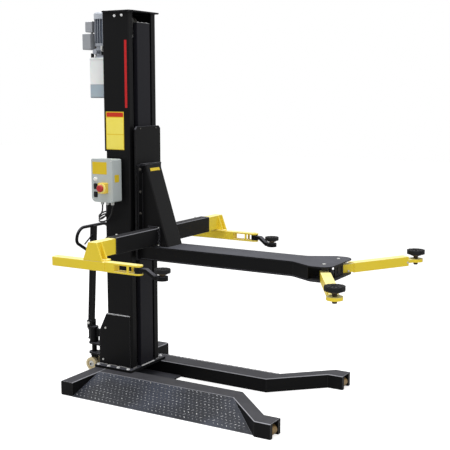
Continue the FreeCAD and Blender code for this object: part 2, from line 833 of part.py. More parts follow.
def head_plate(z0):
    """One of the arm's two cover plates, with its flare eased and its front corners rounded."""
    plate = plate_xy(head_outline(0), z0, arm_plate)
    corners = upright_edges(plate, lambda p: p.x > head_front_x - 1)
    plate = plate.makeFillet(head_corner_radius, corners)
    plate = plate.makeFillet(head_flare_radius, upright_edges(
        plate, lambda p: flare_start_x - 1 < p.x < flare_end_x + 1))
    face_z = plate.BoundBox.ZMax if z0 > arm_bottom_z else plate.BoundBox.ZMin
    rim = [edge for edge in plate.Edges if abs(edge.BoundBox.ZMax - face_z) < 1e-6
           and abs(edge.BoundBox.ZMin - face_z) < 1e-6 and edge.BoundBox.XMax > carriage_front_x + 1]
    return plate.makeFillet(arm_plate_edge, rim)


def make_main_arm():
    """A welded box: two cover plates, two side plates that follow the flare, and a front web."""
    low = arm_bottom_z + arm_plate
    high = arm_top_z - arm_plate
    cover = head_plate(arm_bottom_z)
    roof = head_plate(high)
    side_end_x = flare_end_x - arm_side_end
    slope = (head_half_width - arm_half_width) / (flare_end_x - flare_start_x)
    end_y = arm_half_width + slope * (side_end_x - flare_start_x)
    sheet = arm_side_sheet
    edge = arm_side_inset
    outer_y = arm_half_width - edge
    side_points = [(carriage_front_x, -outer_y), (flare_start_x, -outer_y), (side_end_x, -end_y + edge),
                   (side_end_x, -end_y + edge + sheet), (flare_start_x, -outer_y + sheet),
                   (carriage_front_x, -outer_y + sheet)]
    side = plate_xy(side_points, low, high - low)
    rear_web = centred_box(side_end_x - sheet, side_end_x, end_y - edge - sheet, low, high)
    web_x = head_front_x - head_web_set_back
    web = centred_box(web_x - sheet, web_x, head_web_half_width, low, high)
    slot_width, slot_height = head_web_slot
    middle_z = (low + high) / 2
    for side_y in (-head_web_slot_y, head_web_slot_y):
        web = web.cut(box(web_x - sheet - 1, web_x + 1, side_y - slot_width / 2, side_y + slot_width / 2,
                          middle_z - slot_height / 2, middle_z + slot_height / 2))
    return fuse(cover, roof, side, mirrored(side), rear_web, web)


def make_pivot_pins():
    """The two pins that the front arms turn on, with a head on top and a spacer above the arm."""
    radius = pivot_pin_radius
    low = arm_bottom_z + arm_plate
    high = arm_top_z - arm_plate
    shank = rod((pivot_x, -pivot_y, low), radius, high - low)
    spacer_z = arm_tube_top_z + arm_seat_gap
    spacer = rod((pivot_x, -pivot_y, spacer_z), radius + pivot_spacer_rim, high - spacer_z)
    return pair(fuse(shank, spacer))


# Front arms, modelled pointing along +X from the pivot and turned to their angle

def make_right_front_arm():
    """The inner tube with a rounded, bored root that sits on the pivot pin."""
    half = arm_tube / 2
    middle_y = -pivot_y
    tip_x = pivot_x + arm_tube_length
    tube = box(pivot_x, tip_x, middle_y - half, middle_y + half, arm_tube_bottom_z, arm_tube_top_z)
    root = rod((pivot_x, middle_y, arm_tube_bottom_z), half, arm_tube)
    wall = arm_tube_wall
    hollow = box(pivot_x + half + arm_root_solid, tip_x + 1, middle_y - half + wall, middle_y + half - wall,
                 arm_tube_bottom_z + wall, arm_tube_top_z - wall)
    bore = rod((pivot_x, middle_y, arm_tube_bottom_z - 1), pivot_pin_radius + steer_fit, arm_tube + 2)
    arm = fuse(tube, root).cut(hollow).cut(bore)
    return turned(arm, (pivot_x, -pivot_y, 0), -front_arm_angle)


def make_right_front_sleeve():
    """The outer tube that slides on the inner one, closed at its end, with the pad's ring."""
    half = sleeve_half
    inner = arm_tube / 2 + arm_fit
    middle_y = -pivot_y
    start_x = pivot_x + sleeve_start
    end_x = start_x + sleeve_length
    ring_x = pivot_x + front_pad_reach
    ring_bottom = front_ring_top_z - ring_thickness
    tube = box(start_x, end_x, middle_y - half, middle_y + half,
               sleeve_middle_z - half, sleeve_middle_z + half)
    tube = tube.makeFillet(sleeve_wall * 0.8, [edge for edge in tube.Edges
                                              if abs(edge.BoundBox.XLength - sleeve_length) < 1e-6])
    hollow = box(start_x - 1, end_x - 2 * sleeve_wall, middle_y - inner, middle_y + inner,
                 sleeve_middle_z - inner, sleeve_middle_z + inner)
    tongue = box(end_x - sleeve_wall, ring_x, middle_y - half + tongue_inset,
                 middle_y + half - tongue_inset, ring_bottom, front_ring_top_z)
    ring = rod((ring_x, middle_y, ring_bottom), front_ring_radius, ring_thickness)
    bore = rod((ring_x, middle_y, ring_bottom - 1), front_screw_radius + screw_fit, ring_thickness + 2)
    sleeve = fuse(tube.cut(hollow), tongue, ring).cut(bore)
    return turned(sleeve, (pivot_x, -pivot_y, 0), -front_arm_angle)


def pad_screw(x, y, bottom_z, radius, cup_radius, pad_bottom_z):
    """A threaded stem with a round cup on top that holds the rubber."""
    cup_z = pad_bottom_z - pad_cup_thickness
    stem = rod((x, y, bottom_z), radius, cup_z - bottom_z)
    stem = stem.makeChamfer(screw_chamfer, [edge for edge in stem.Edges if edge.BoundBox.ZMax < bottom_z + 1])
    cup = rod((x, y, cup_z), cup_radius, pad_cup_thickness)
    return fuse(stem, cup)


def pad_rubber(x, y, radius, thickness, top_z):
    """A thick rubber disc with rounded edges."""
    disc = rod((x, y, top_z - thickness), radius, thickness)
    rims = [edge for edge in disc.Edges if edge.Closed]
    return disc.makeFillet(pad_edge, rims)


def front_pad_place():
    """Where the right front pad stands in plan."""
    angle = math.radians(-front_arm_angle)
    return (pivot_x + front_pad_reach * math.cos(angle), -pivot_y + front_pad_reach * math.sin(angle))


def make_right_front_screw():
    """The right front pad's screw."""
    x, y = front_pad_place()
    return pad_screw(x, y, front_screw_bottom_z, front_screw_radius,
                     front_pad_radius * pad_cup_share, front_pad_top_z - front_pad_thickness)


def make_right_front_pad():
    """The right front pad's rubber."""
    x, y = front_pad_place()
    return pad_rubber(x, y, front_pad_radius, front_pad_thickness, front_pad_top_z)


# Rear outriggers

def make_right_outrigger():
    """A cross tube that slides in the crossbeam, with a lengthwise tube hung from tapered plates."""
    fit = cross_tube_fit
    wall = cross_tube_wall
    x0 = crossbeam_rear_x + crossbeam_wall + fit
    x1 = crossbeam_front_x - crossbeam_wall - fit
    z0 = crossbeam_bottom_z + crossbeam_wall + fit
    z1 = crossbeam_top_z - crossbeam_wall - fit
    plate_y = -outrigger_outer_y
    tube_end_y = -crossbeam_half_length + cross_tube_overlap
    tube = box(x0, x1, plate_y + trapezoid_plate, tube_end_y, z0, z1)
    hollow = box(x0 + wall, x1 - wall, plate_y, tube_end_y + 1, z0 + wall, z1 - wall)
    tapered = [(x0 - trapezoid_foot_margin, outrigger_top_z), (x1 + trapezoid_foot_margin, outrigger_top_z),
               (x1, z1), (x0, z1)]
    outer_plate = plate_xz(tapered, plate_y, trapezoid_plate)
    inner_plate = plate_xz(tapered, -outrigger_inner_y - trapezoid_plate, trapezoid_plate)
    long_tube = box(outrigger_rear_x, outrigger_front_x, plate_y, -outrigger_inner_y,
                    outrigger_bottom_z, outrigger_top_z)
    long_tube = long_tube.makeFillet(outrigger_corner, long_edges(
        long_tube, "XLength", outrigger_front_x - outrigger_rear_x))
    bore_wall = outrigger_tube_wall
    long_hollow = box(outrigger_rear_x - 1, outrigger_front_x + 1, plate_y + bore_wall,
                      -outrigger_inner_y - bore_wall, outrigger_bottom_z + bore_wall,
                      outrigger_top_z - bore_wall)
    frame = fuse(tube, inner_plate).cut(hollow)
    tab_front_x = outrigger_front_x - 1
    tab_y = -outrigger_middle_y - pin_tab_offset
    tab = box(tab_front_x - pin_tab_length, tab_front_x, tab_y, tab_y + pin_tab_width,
              outrigger_top_z, outrigger_top_z + pin_tab_thickness)
    tab = tab.makeFillet(pin_tab_corner, upright_edges(tab, lambda p: p.x > tab_front_x - 1))
    tab = tab.cut(rod((tab_front_x - pin_tab_hole_inset, tab_y + pin_tab_width / 2, outrigger_top_z),
                      pin_tab_hole, pin_tab_thickness + 1))
    return fuse(frame, outer_plate, tab, long_tube.cut(long_hollow))


def make_right_fork():
    """A spigot that slides in the outrigger, a block, and two plates joined by webs at their sides."""
    spigot_half = outrigger_tube / 2 - outrigger_tube_wall - fork_fit
    middle_y = -outrigger_middle_y
    middle_z = outrigger_middle_z
    wall = fork_spigot_wall
    spigot = box(fork_start_x - fork_spigot_length, fork_start_x + 1, middle_y - spigot_half,
                 middle_y + spigot_half, middle_z - spigot_half, middle_z + spigot_half)
    hollow = box(fork_start_x - fork_spigot_length - 1, fork_start_x - 1, middle_y - spigot_half + wall,
                 middle_y + spigot_half - wall, middle_z - spigot_half + wall,
                 middle_z + spigot_half - wall)
    half = fork_tip_radius
    low = outrigger_bottom_z
    high = outrigger_top_z
    block = box(fork_start_x, fork_start_x + fork_block_length, middle_y - half, middle_y + half, low, high)
    pieces = []
    for z in (low, high - fork_plate):
        pieces.append(box(fork_start_x, swing_pivot_x, middle_y - half, middle_y + half,
                          z, z + fork_plate))
        pieces.append(rod((swing_pivot_x, middle_y, z), half, fork_plate))
    web_x = fork_start_x + fork_web_x - fork_web_width
    for y in (middle_y - half, middle_y + half - fork_web_thickness):
        pieces.append(box(web_x, web_x + fork_web_width, y, y + fork_web_thickness, low, high))
    pin = rod((swing_pivot_x, middle_y, low), swing_pin_radius, high - low + swing_pin_reach)
    return fuse(spigot.cut(hollow), block, pin, *pieces)


def make_right_swing_arm():
    """A cranked black arm: a round lug, a bar that steps down, and a collar for the pad screw."""
    x, y = swing_pivot_x, -outrigger_middle_y
    lug_height = swing_lug_top_z - swing_lug_bottom_z
    lug = rod((x, y, swing_lug_bottom_z), swing_lug_radius, lug_height)
    high = (swing_lug_top_z + swing_lug_bottom_z + swing_bar_thickness) / 2
    low = high - swing_drop
    step_x = x + swing_step_start
    down_x = step_x + swing_step_length
    end_x = x + swing_arm_length
    side = [(x, high - swing_bar_thickness), (step_x, high - swing_bar_thickness),
            (down_x, low - swing_bar_thickness), (end_x, low - swing_bar_thickness),
            (end_x, low), (down_x, low), (step_x, high), (x, high)]
    bar = plate_xz(side, y - swing_bar_width / 2, swing_bar_width)
    collar = rod((end_x, y, low - collar_height), collar_radius, collar_height)
    bore = rod((x, y, swing_lug_bottom_z - 1), swing_pin_radius + steer_fit, lug_height + 2)
    screw_bore = rod((end_x, y, low - collar_height - 1), rear_screw_radius + screw_fit,
                     collar_height + 2)
    arm = fuse(lug, bar, collar).cut(bore).cut(screw_bore)
    return turned(arm, (x, y, 0), swing_arm_angle)


def rear_pad_place():
    """Where the right rear pad stands in plan."""
    angle = math.radians(swing_arm_angle)
    return (swing_pivot_x + swing_arm_length * math.cos(angle),
            -outrigger_middle_y + swing_arm_length * math.sin(angle))


def make_right_rear_screw():
    """The right rear pad's screw."""
    x, y = rear_pad_place()
    return pad_screw(x, y, rear_screw_bottom_z, rear_screw_radius,
                     rear_pad_radius * pad_cup_share, rear_pad_top_z - rear_pad_thickness)


def make_right_rear_pad():
    """The right rear pad's rubber."""
    x, y = rear_pad_place()
    return pad_rubber(x, y, rear_pad_radius, rear_pad_thickness, rear_pad_top_z)


# Control box

control_front_x = control_rear_x + control_width
control_top_z = control_bottom_z + control_height
stop_x = control_rear_x + stop_place[0]
stop_z = control_bottom_z + stop_place[1]
button_x = control_rear_x + button_inset
up_button_z, down_button_z = [control_bottom_z + rise for rise in button_rises]
lamp_z = control_bottom_z + lamp_rise


def make_control_box():
    """A moulded housing on two stand-offs, with a cover that stands proud and a large low corner."""
    split = control_cover_depth
    rim = control_cover_rim
    body = box(control_rear_x, control_front_x, -control_face_y + split, -control_inner_y,
               control_bottom_z, control_top_z)
    cover = box(control_rear_x - rim, control_front_x + rim, -control_face_y, -control_face_y + split,
                control_bottom_z - rim, control_top_z + rim)
    pieces = []
    for shell in (body, cover):
        across = [edge for edge in shell.Edges
                  if edge.BoundBox.XLength < 1e-6 and edge.BoundBox.ZLength < 1e-6]
        low_rear = [edge for edge in across if edge.BoundBox.ZMax < control_top_z - 10
                    and edge.BoundBox.XMax < control_front_x - 10]
        others = [edge for edge in across if not any(edge.isSame(low) for low in low_rear)]
        shell = shell.makeFillet(control_corner, others)
        corner = [edge for edge in shell.Edges
                  if edge.BoundBox.XLength < 1e-6 and edge.BoundBox.ZLength < 1e-6
                  and edge.BoundBox.ZMax < control_bottom_z + 1 and edge.BoundBox.XMax < control_rear_x + 1]
        pieces.append(shell.makeFillet(control_low_corner, corner))
    stand_off_x = control_rear_x + control_stand_off_inset
    for z in (control_bottom_z + control_stand_off_rise, control_top_z - control_stand_off_rise):
        pieces.append(box(stand_off_x, control_front_x - control_stand_off_inset, -control_inner_y,
                          -column_half_width, z - control_stand_off_half, z + control_stand_off_half))
    housing = fuse(*pieces)
    for z in (up_button_z, down_button_z):
        bore = rod((button_x, -control_face_y - 1, z), button_radius + button_fit, button_depth, Y)
        housing = housing.cut(bore)
    return housing


def make_indicator_lamp():
    """The round lamp with its bezel."""
    bezel = rod((button_x, -control_face_y - lamp_bezel, lamp_z), lamp_radius + lamp_bezel, lamp_bezel, Y)
    lens = rod((button_x, -control_face_y - lamp_reach, lamp_z), lamp_radius, lamp_reach - lamp_bezel, Y)
    rim = [edge for edge in lens.Edges
           if edge.Closed and edge.BoundBox.YMax < -control_face_y - lamp_reach + 1]
    return fuse(bezel, lens.makeFillet(lamp_edge, rim))


def make_stop_plate():
    """The yellow housing behind the stop button, bored for its stem."""
    half_width = stop_plate_width / 2
    half_height = stop_plate_height / 2
    front_y = -control_face_y - stop_plate_thickness
    plate = box(stop_x - half_width, stop_x + half_width, front_y, -control_face_y,
                stop_z - half_height, stop_z + half_height)
    plate = plate.makeFillet(stop_plate_corner, long_edges(plate, "YLength", stop_plate_thickness))
    front = [edge for edge in plate.Edges if edge.BoundBox.YMax < front_y + 1e-6]
    plate = plate.makeFillet(stop_plate_edge, front)
    bore = rod((stop_x, front_y - 1, stop_z), stop_stem_radius + button_fit,
               stop_plate_thickness - stop_bore_floor, Y)
    return plate.cut(bore)


def make_stop_button():
    """The red mushroom button on its stem."""
    front_y = -control_face_y - stop_plate_thickness
    cap_y = front_y - stop_cap_gap - stop_cap_thickness
    stem = rod((stop_x, front_y - stop_cap_gap, stop_z), stop_stem_radius, 2 * stop_cap_gap, Y)
    cap = rod((stop_x, cap_y, stop_z), stop_radius, stop_cap_thickness, Y)
    front = [edge for edge in cap.Edges if edge.Closed and edge.BoundBox.YMax < cap_y + 1]
    return fuse(stem, cap.makeFillet(stop_cap_edge, front))


def push_button(z):
    """A round black push button that stands out of the cover."""
    front_y = -control_face_y - button_reach
    button = rod((button_x, front_y, z), button_radius, 2 * button_reach, Y)
    front = [edge for edge in button.Edges if edge.Closed and edge.BoundBox.YMax < front_y + 1]
    return button.makeFillet(button_edge, front)


gland_places = [(control_rear_x + gland_inset + gland_spacing * index, -control_inner_y - gland_set_back)
                for index in range(3)]


def make_cable_glands():
    """Three cable glands under the control box: a hexagon and a domed nut each."""
    glands = []
    for x, y in gland_places:
        body = rod((x, y, control_bottom_z - gland_length), gland_radius - gland_body_inset,
                   gland_length)
        corner_radius = gland_radius * gland_nut_share
        corners = [(x + corner_radius * math.cos(math.radians(60 * side)),
                    y + corner_radius * math.sin(math.radians(60 * side))) for side in range(6)]
        glands.append(fuse(body, plate_xy(corners, control_bottom_z - gland_nut_height, gland_nut_height)))
    return Part.makeCompound(glands)


def cable_points(index):
    """The route of one cable: down from its gland, round the column and into the back panel."""
    x, y = gland_places[index]
    middle_x = gland_places[1][0]
    top = control_bottom_z - gland_length
    layer = -cable_layer * (index - 1)
    points = [Vector(x, y, top), Vector(x, y, top - cable_straight)]
    for (dx, dy, dz), gathering in zip(cable_route, cable_gathering):
        points.append(Vector(column_rear_x + dx + gathering * (x - middle_x), y + dy, top + dz + layer))
    return points


def make_control_cables():
    """The three cables from the glands to the rear of the column."""
    cables = []
    for index in range(3):
        points = cable_points(index)
        radii = []
        for before, corner, after in zip(points, points[1:], points[2:]):
            turn = (corner - before).getAngle(after - corner)
            shorter = min((corner - before).Length, (after - corner).Length)
            radii.append(0.45 * shorter / math.tan(turn / 2))
        print("cable", index, "radii", [round(radius) for radius in radii])
        cables.append(swept_tube(rounded_path(points, radii), cable_radius))
    return Part.makeCompound(cables)


# Power unit

def make_reservoir():
    """The translucent oil tank that hangs under the pump block."""
    half = reservoir_depth / 2
    tank = centred_box(power_axis_x - half, power_axis_x + half, reservoir_half_width,
                       reservoir_bottom_z, pump_block_z)
    tank = tank.makeFillet(reservoir_corner, upright_edges(tank))
    rims = [edge for edge in tank.Edges if edge.BoundBox.ZMax < reservoir_bottom_z + 1]
    return tank.makeFillet(reservoir_foot_edge, rims)


def make_pump_block():
    """The cast block with a round flange under it, a relief valve and a cartridge."""
    half = pump_block_depth / 2
    block = centred_box(power_axis_x - half, power_axis_x + half, pump_block_half_width,
                        pump_block_z + pump_flange_thickness, pump_block_z + pump_block_height)
    block = block.makeFillet(pump_block_corner, upright_edges(block))
    flange = rod((power_axis_x, 0, pump_block_z), pump_flange_radius, pump_flange_thickness)
    valve_x = power_axis_x - pump_valve_set_back
    valve_z = pump_block_z + pump_valve_rise
    valve_end_y = -pump_block_half_width - pump_valve_length
    valve = rod((valve_x, valve_end_y, valve_z), pump_valve_radius, pump_valve_length + 2, Y)
    knob = rod((valve_x, valve_end_y - pump_knob_length, valve_z), pump_knob_radius, pump_knob_length, Y)
    cartridge = rod((power_axis_x - half - pump_cartridge_length, pump_valve_set_back, valve_z),
                    pump_cartridge_radius, pump_cartridge_length + 2, X)
    return fuse(block, flange, valve, knob, cartridge)


def make_pump_bracket():
    """A folded bracket on the column's rear that holds the pump block between two cheeks."""
    low_rise, top_drop = bracket_rises
    low_rim, top_rim = bracket_back_rims
    z0 = pump_block_z + low_rise
    z1 = pump_block_z + pump_block_height - top_drop
    cheek_y = pump_block_half_width
    back = centred_box(column_rear_x - bracket_sheet, column_rear_x, cheek_y + bracket_sheet,
                       z0 - low_rim, z1 + top_rim)
    cheeks = []
    for side in (-1, 1):
        y0, y1 = sorted((side * cheek_y, side * (cheek_y + bracket_sheet)))
        cheeks.append(box(power_axis_x + bracket_cheek_set_back, column_rear_x, y0, y1, z0, z1))
    return fuse(back, *cheeks)


def make_motor():
    """The electric motor: end shield, finned body, fan cover and a shallow cap."""
    z = motor_bottom_z
    body_top = z + motor_height
    core = rod((power_axis_x, 0, z), motor_radius, motor_height)
    shield = rod((power_axis_x, 0, z), motor_radius + motor_fin_height, motor_shield_height)
    pieces = [shield]
    fin = box(power_axis_x + motor_radius - 3, power_axis_x + motor_radius + motor_fin_height,
              -motor_fin_thickness / 2, motor_fin_thickness / 2, z + motor_shield_height, body_top)
    for index in range(motor_fin_count):
        pieces.append(turned(fin, (power_axis_x, 0, 0), 360.0 * (index + 0.5) / motor_fin_count))
    cover = rod((power_axis_x, 0, body_top), fan_cover_radius, fan_cover_height)
    rim = [edge for edge in cover.Edges if edge.Closed and edge.BoundBox.ZMin > body_top + 1]
    pieces.append(cover.makeFillet(fan_cover_edge, rim))
    return fuse(core, *pieces)


def make_motor_boxes():
    """The terminal box and the capacitor box on the motor's rear side."""
    boxes = []
    for half, depth, rise, height, middle_y in (terminal_box, capacitor_box):
        outer_x = power_axis_x - motor_radius - motor_fin_height - depth
        z0 = motor_bottom_z + rise
        housing = box(outer_x, outer_x + depth, middle_y - half, middle_y + half, z0, z0 + height)
        along = [edge for edge in housing.Edges if edge.BoundBox.XLength > depth - 1e-6]
        boxes.append(housing.makeFillet(motor_box_corner, along))
    return Part.makeCompound(boxes)


# Steering trolley

def make_steering_bracket():
    """A plate across the rear of the foot, with two ears that hold the steering post."""
    back_x = gusset_rear_x - steering_plate_gap
    plate = centred_box(back_x - steering_plate_thickness, back_x, column_half_width - steering_plate_inset,
                        base_top_z, base_top_z + steering_plate_height)
    ears = []
    for z in (lower_ear_z, upper_ear_z):
        outline = [(back_x, -ear_root_half_width), (back_x, ear_root_half_width),
                   (steer_axis_x, ear_tip_radius), (steer_axis_x, -ear_tip_radius)]
        ears.append(plate_xy(outline, z, ear_thickness))
        ears.append(rod((steer_axis_x, 0, z), ear_tip_radius, ear_thickness))
    bracket = fuse(plate, *ears)
    return bracket.cut(rod((steer_axis_x, 0, base_top_z), steer_post_radius + steer_fit,
                           steering_plate_height))


def make_steering_head():
    """The upright post with the wheel axle below, the pump body above and the handle's yoke behind."""
    x = steer_axis_x
    block_top = lower_ear_z - ear_foot_gap
    post_z = block_top - post_foot_drop
    post = rod((x, 0, post_z), steer_post_radius, upper_ear_top_z + post_head_reach - post_z)
    collar_z = block_top - collar_depth
    collar = rod((x, 0, collar_z), steer_post_radius + collar_rim, lower_ear_z - steer_fit - collar_z)
    leg = centred_box(x - fork_leg_half_depth, x + fork_leg_half_depth, fork_block_half_width,
                      steer_wheel_z - fork_leg_half_depth, collar_z + 2)
    axle_half = fork_block_half_width + steer_wheel_gap + steer_wheel_width + axle_end_reach
    axle = rod((x, -axle_half, steer_wheel_z), wheel_axle_radius, 2 * axle_half, Y)
    body_z = upper_ear_top_z + steer_fit
    body = rod((x, 0, body_z), pump_body_radius, pump_body_height)
    yoke_inner = handle_post_half_width + handle_side_gap
    yoke_outer = yoke_inner + yoke_ear_thickness
    yoke_z = body_z + pump_body_height
    saddle_z = yoke_z - yoke_saddle_height
    pivot = handle_pivot_x
    cheeks = []
    for side in (-1, 1):
        y0, y1 = sorted((side * yoke_inner, side * yoke_outer))
        cheeks.append(box(pivot - yoke_half_depth, pivot + yoke_half_depth, y0, y1,
                          saddle_z, handle_pivot_z + yoke_half_depth))
    saddle = centred_box(pivot - yoke_half_depth, x + yoke_half_depth, yoke_outer, saddle_z, yoke_z)
    pin_half = yoke_outer + axle_end_reach
    pin = rod((pivot, -pin_half, handle_pivot_z), wheel_axle_radius, 2 * pin_half, Y)
    lever = plate_xz([(x + dx, body_z + dz) for dx, dz in pedal_lever],
                     -pedal_half_width, 2 * pedal_half_width)
    rod_x = x - pump_body_radius - rest_rod_set_back
    lug_rear, lug_front, lug_half, lug_height, lug_drop = rest_lug
    rest_rod_z = body_z + rest_rod_rise
    rest_rod = rod((rod_x, 0, rest_rod_z), rest_rod_radius, rest_rod_length)
    lugs = [centred_box(rod_x - lug_rear, rod_x + lug_front, lug_half, z, z + lug_height)
            for z in (rest_rod_z, rest_rod_z + rest_rod_length - lug_drop)]
    return fuse(post, collar, leg, axle, body, saddle, pin, lever, rest_rod, *cheeks, *lugs)


def make_steering_wheels():
    """Twin wheels, one each side of the post's foot, each with a recessed hub."""
    inner_y = fork_block_half_width + steer_wheel_gap
    wheel = rod((steer_axis_x, -inner_y - steer_wheel_width, steer_wheel_z), steer_wheel_radius,
                steer_wheel_width, Y)
    wheel = wheel.makeFillet(steer_wheel_edge, [edge for edge in wheel.Edges if edge.Closed])
    recess_radius, recess_depth = steer_wheel_recess
    recess = rod((steer_axis_x, -inner_y - steer_wheel_width - 1, steer_wheel_z),
                 recess_radius, recess_depth + 1, Y)
    bore = rod((steer_axis_x, -inner_y - steer_wheel_width - 1, steer_wheel_z),
               wheel_axle_radius + steer_fit, steer_wheel_width + 2, Y)
    return pair(wheel.cut(recess).cut(bore))


def make_tow_handle():
    """A square post with a bored foot, a bent grip loop around its top, and a release lever."""
    x = handle_pivot_x
    half = handle_post_depth / 2
    foot_z = handle_pivot_z
    top = handle_top_z - grip_radius
    wall = handle_post_wall
    post = centred_box(x - half, x + half, handle_post_half_width, foot_z, top)
    hollow = centred_box(x - half + wall, x + half - wall, handle_post_half_width - wall,
                         foot_z + half + wall, grip_low_z - 4 * grip_radius)
    slot_z = foot_z + half + 2 * wall
    slot = centred_box(x - half - 1, x, handle_slot_half_width, slot_z, slot_z + handle_slot_length)
    foot = rod((x, -handle_post_half_width, foot_z), half - handle_foot_inset,
               2 * handle_post_half_width, Y)
    bore = rod((x, -handle_post_half_width - 1, foot_z), wheel_axle_radius + steer_fit,
               2 * handle_post_half_width + 2, Y)
    inside = handle_post_half_width - grip_root_inset
    points = [Vector(x, -inside, grip_low_z), Vector(x, -grip_half_width, grip_side_z),
              Vector(x, -grip_half_width, top), Vector(x, grip_half_width, top),
              Vector(x, grip_half_width, grip_side_z), Vector(x, inside, grip_low_z)]
    radii = [grip_low_bend_radius, grip_bend_radius, grip_bend_radius, grip_low_bend_radius]
    loop = swept_tube(rounded_path(points, radii), grip_radius)
    lever_start = Vector(x, -inside, grip_low_z + lever_rise)
    run = Vector(0, *lever_run)
    lever = Part.makeCylinder(lever_radius, run.Length, lever_start, run)
    handle = fuse(post, foot, loop, lever).cut(bore).cut(hollow).cut(slot)
    handle.rotate(Vector(x, 0, foot_z), Y, handle_lean)
    return handle


parts = {
    "rear_crossbar": make_rear_crossbar(),
    "right_leg": make_right_leg(),
    "right_ramp": make_right_ramp(),
    "base_plate": make_base_plate(),
    "right_rail": make_right_rail(),
    "back_panel": make_back_panel(),
    "front_cover": make_front_cover(),
    "top_plate": make_top_plate(),
    "foot_gussets": make_foot_gussets(),
    "lift_cylinder": make_lift_cylinder(),
    "chain_sheave": make_chain_sheave(),
    "lift_chain": make_lift_chain(),
    "control_box": make_control_box(),
    "indicator_lamp": make_indicator_lamp(),
    "stop_plate": make_stop_plate(),
    "cable_glands": make_cable_glands(),
    "control_cables": make_control_cables(),
    "reservoir": make_reservoir(),
    "pump_block": make_pump_block(),
    "pump_bracket": make_pump_bracket(),
    "motor": make_motor(),
    "motor_boxes": make_motor_boxes(),
    "steering_bracket": make_steering_bracket(),
    "right_leg_roller": make_right_leg_roller(),
    "steering_head": make_steering_head(),
    "steering_wheels": make_steering_wheels(),
    "tow_handle": make_tow_handle(),
    "stop_button": make_stop_button(),
    "up_button": push_button(up_button_z),
    "down_button": push_button(down_button_z),
    "carriage_plate": make_carriage_plate(),
    "slide_plates": make_slide_plates(),
    "slide_rollers": make_slide_rollers(),
    "clamp_bars": make_clamp_bars(),
    "brace": make_brace(),
    "crossbeam": make_crossbeam(),
    "main_arm": make_main_arm(),
    "pivot_pins": make_pivot_pins(),
    "right_front_arm": make_right_front_arm(),
    "right_front_sleeve": make_right_front_sleeve(),
    "right_front_screw": make_right_front_screw(),
    "right_front_pad": make_right_front_pad(),
    "right_outrigger": make_right_outrigger(),
    "right_fork": make_right_fork(),
    "right_swing_arm": make_right_swing_arm(),
    "right_rear_screw": make_right_rear_screw(),
    "right_rear_pad": make_right_rear_pad(),
}
for name in [name for name in parts if name.startswith("right_")]:
    parts[name.replace("right_", "left_", 1)] = mirrored(parts[name])

os.makedirs("parts", exist_ok=True)
for name, shape in parts.items():
    shape.exportStep(os.path.join("parts", name + ".step"))
    solids = len(shape.Solids)
    print(f"{name:22s} solids {solids} valid {shape.isValid()} litres {shape.Volume / 1e6:.2f}")
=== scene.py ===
import json
import math

import bmesh
import bpy
from mathutils import Matrix, Vector


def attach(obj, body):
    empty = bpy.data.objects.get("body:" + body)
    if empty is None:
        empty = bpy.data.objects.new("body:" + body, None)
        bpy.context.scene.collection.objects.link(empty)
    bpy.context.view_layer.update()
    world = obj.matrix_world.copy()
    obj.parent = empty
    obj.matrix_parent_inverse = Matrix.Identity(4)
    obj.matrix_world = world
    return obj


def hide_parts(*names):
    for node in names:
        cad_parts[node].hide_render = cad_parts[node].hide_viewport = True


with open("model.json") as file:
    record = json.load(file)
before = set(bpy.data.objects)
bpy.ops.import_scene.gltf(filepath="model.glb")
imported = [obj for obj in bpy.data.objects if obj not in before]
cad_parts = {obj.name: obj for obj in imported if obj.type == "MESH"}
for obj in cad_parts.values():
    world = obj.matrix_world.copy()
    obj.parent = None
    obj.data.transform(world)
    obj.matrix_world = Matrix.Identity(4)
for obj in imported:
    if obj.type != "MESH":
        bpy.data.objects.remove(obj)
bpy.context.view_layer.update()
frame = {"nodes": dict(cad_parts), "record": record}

bl_info = {
    "name": "Single-post car lift",
    "version": (1, 1, 0),
    "blender": (4, 5, 0),
    "location": "View3D > Sidebar > Car lift",
    "description": "Dresses the packed car lift with its finishes, fasteners and fittings",
    "category": "Object",
}

NODES = frame["nodes"]
SIDES = (("right", -1), ("left", 1))
PI = math.pi
UP = (0.0, 0.0, 1.0)
WHITE = (1.0, 1.0, 1.0, 1.0)
EDGE_GAIN = 6.0


def seen(red, green, blue):
    """A colour as the eye names it, 0 to 255, as the linear light that Blender works in."""
    def light(value):
        share = value / 255
        return share / 12.92 if share <= 0.04045 else ((share + 0.055) / 1.055) ** 2.4
    return (light(red), light(green), light(blue), 1.0)


def paler(colour, share):
    """A colour with some white in it."""
    return (*(value + (1 - value) * share for value in colour[:3]), 1.0)


# ---- Materials ----

def maths(operation, swapped=False):
    """A method that adds the Math node of one operation on a lead and other values."""
    def method(self, *others):
        values = (*others, self) if swapped else (self, *others)
        return self.recipe.add("ShaderNodeMath", {"operation": operation}, dict(enumerate(values)))
    return method


class Lead:
    """A node's output. Arithmetic on it adds the Math nodes that do the sum."""
    __add__, __radd__ = maths("ADD"), maths("ADD", swapped=True)
    __sub__, __rsub__ = maths("SUBTRACT"), maths("SUBTRACT", swapped=True)
    __mul__, __rmul__ = maths("MULTIPLY"), maths("MULTIPLY", swapped=True)
    __truediv__, __pow__ = maths("DIVIDE"), maths("POWER")
    fraction, unsigned = maths("FRACT"), maths("ABSOLUTE")
    turn_from, most = maths("ARCTAN2"), maths("MAXIMUM")

    def __init__(self, recipe, socket):
        self.recipe = recipe
        self.socket = socket


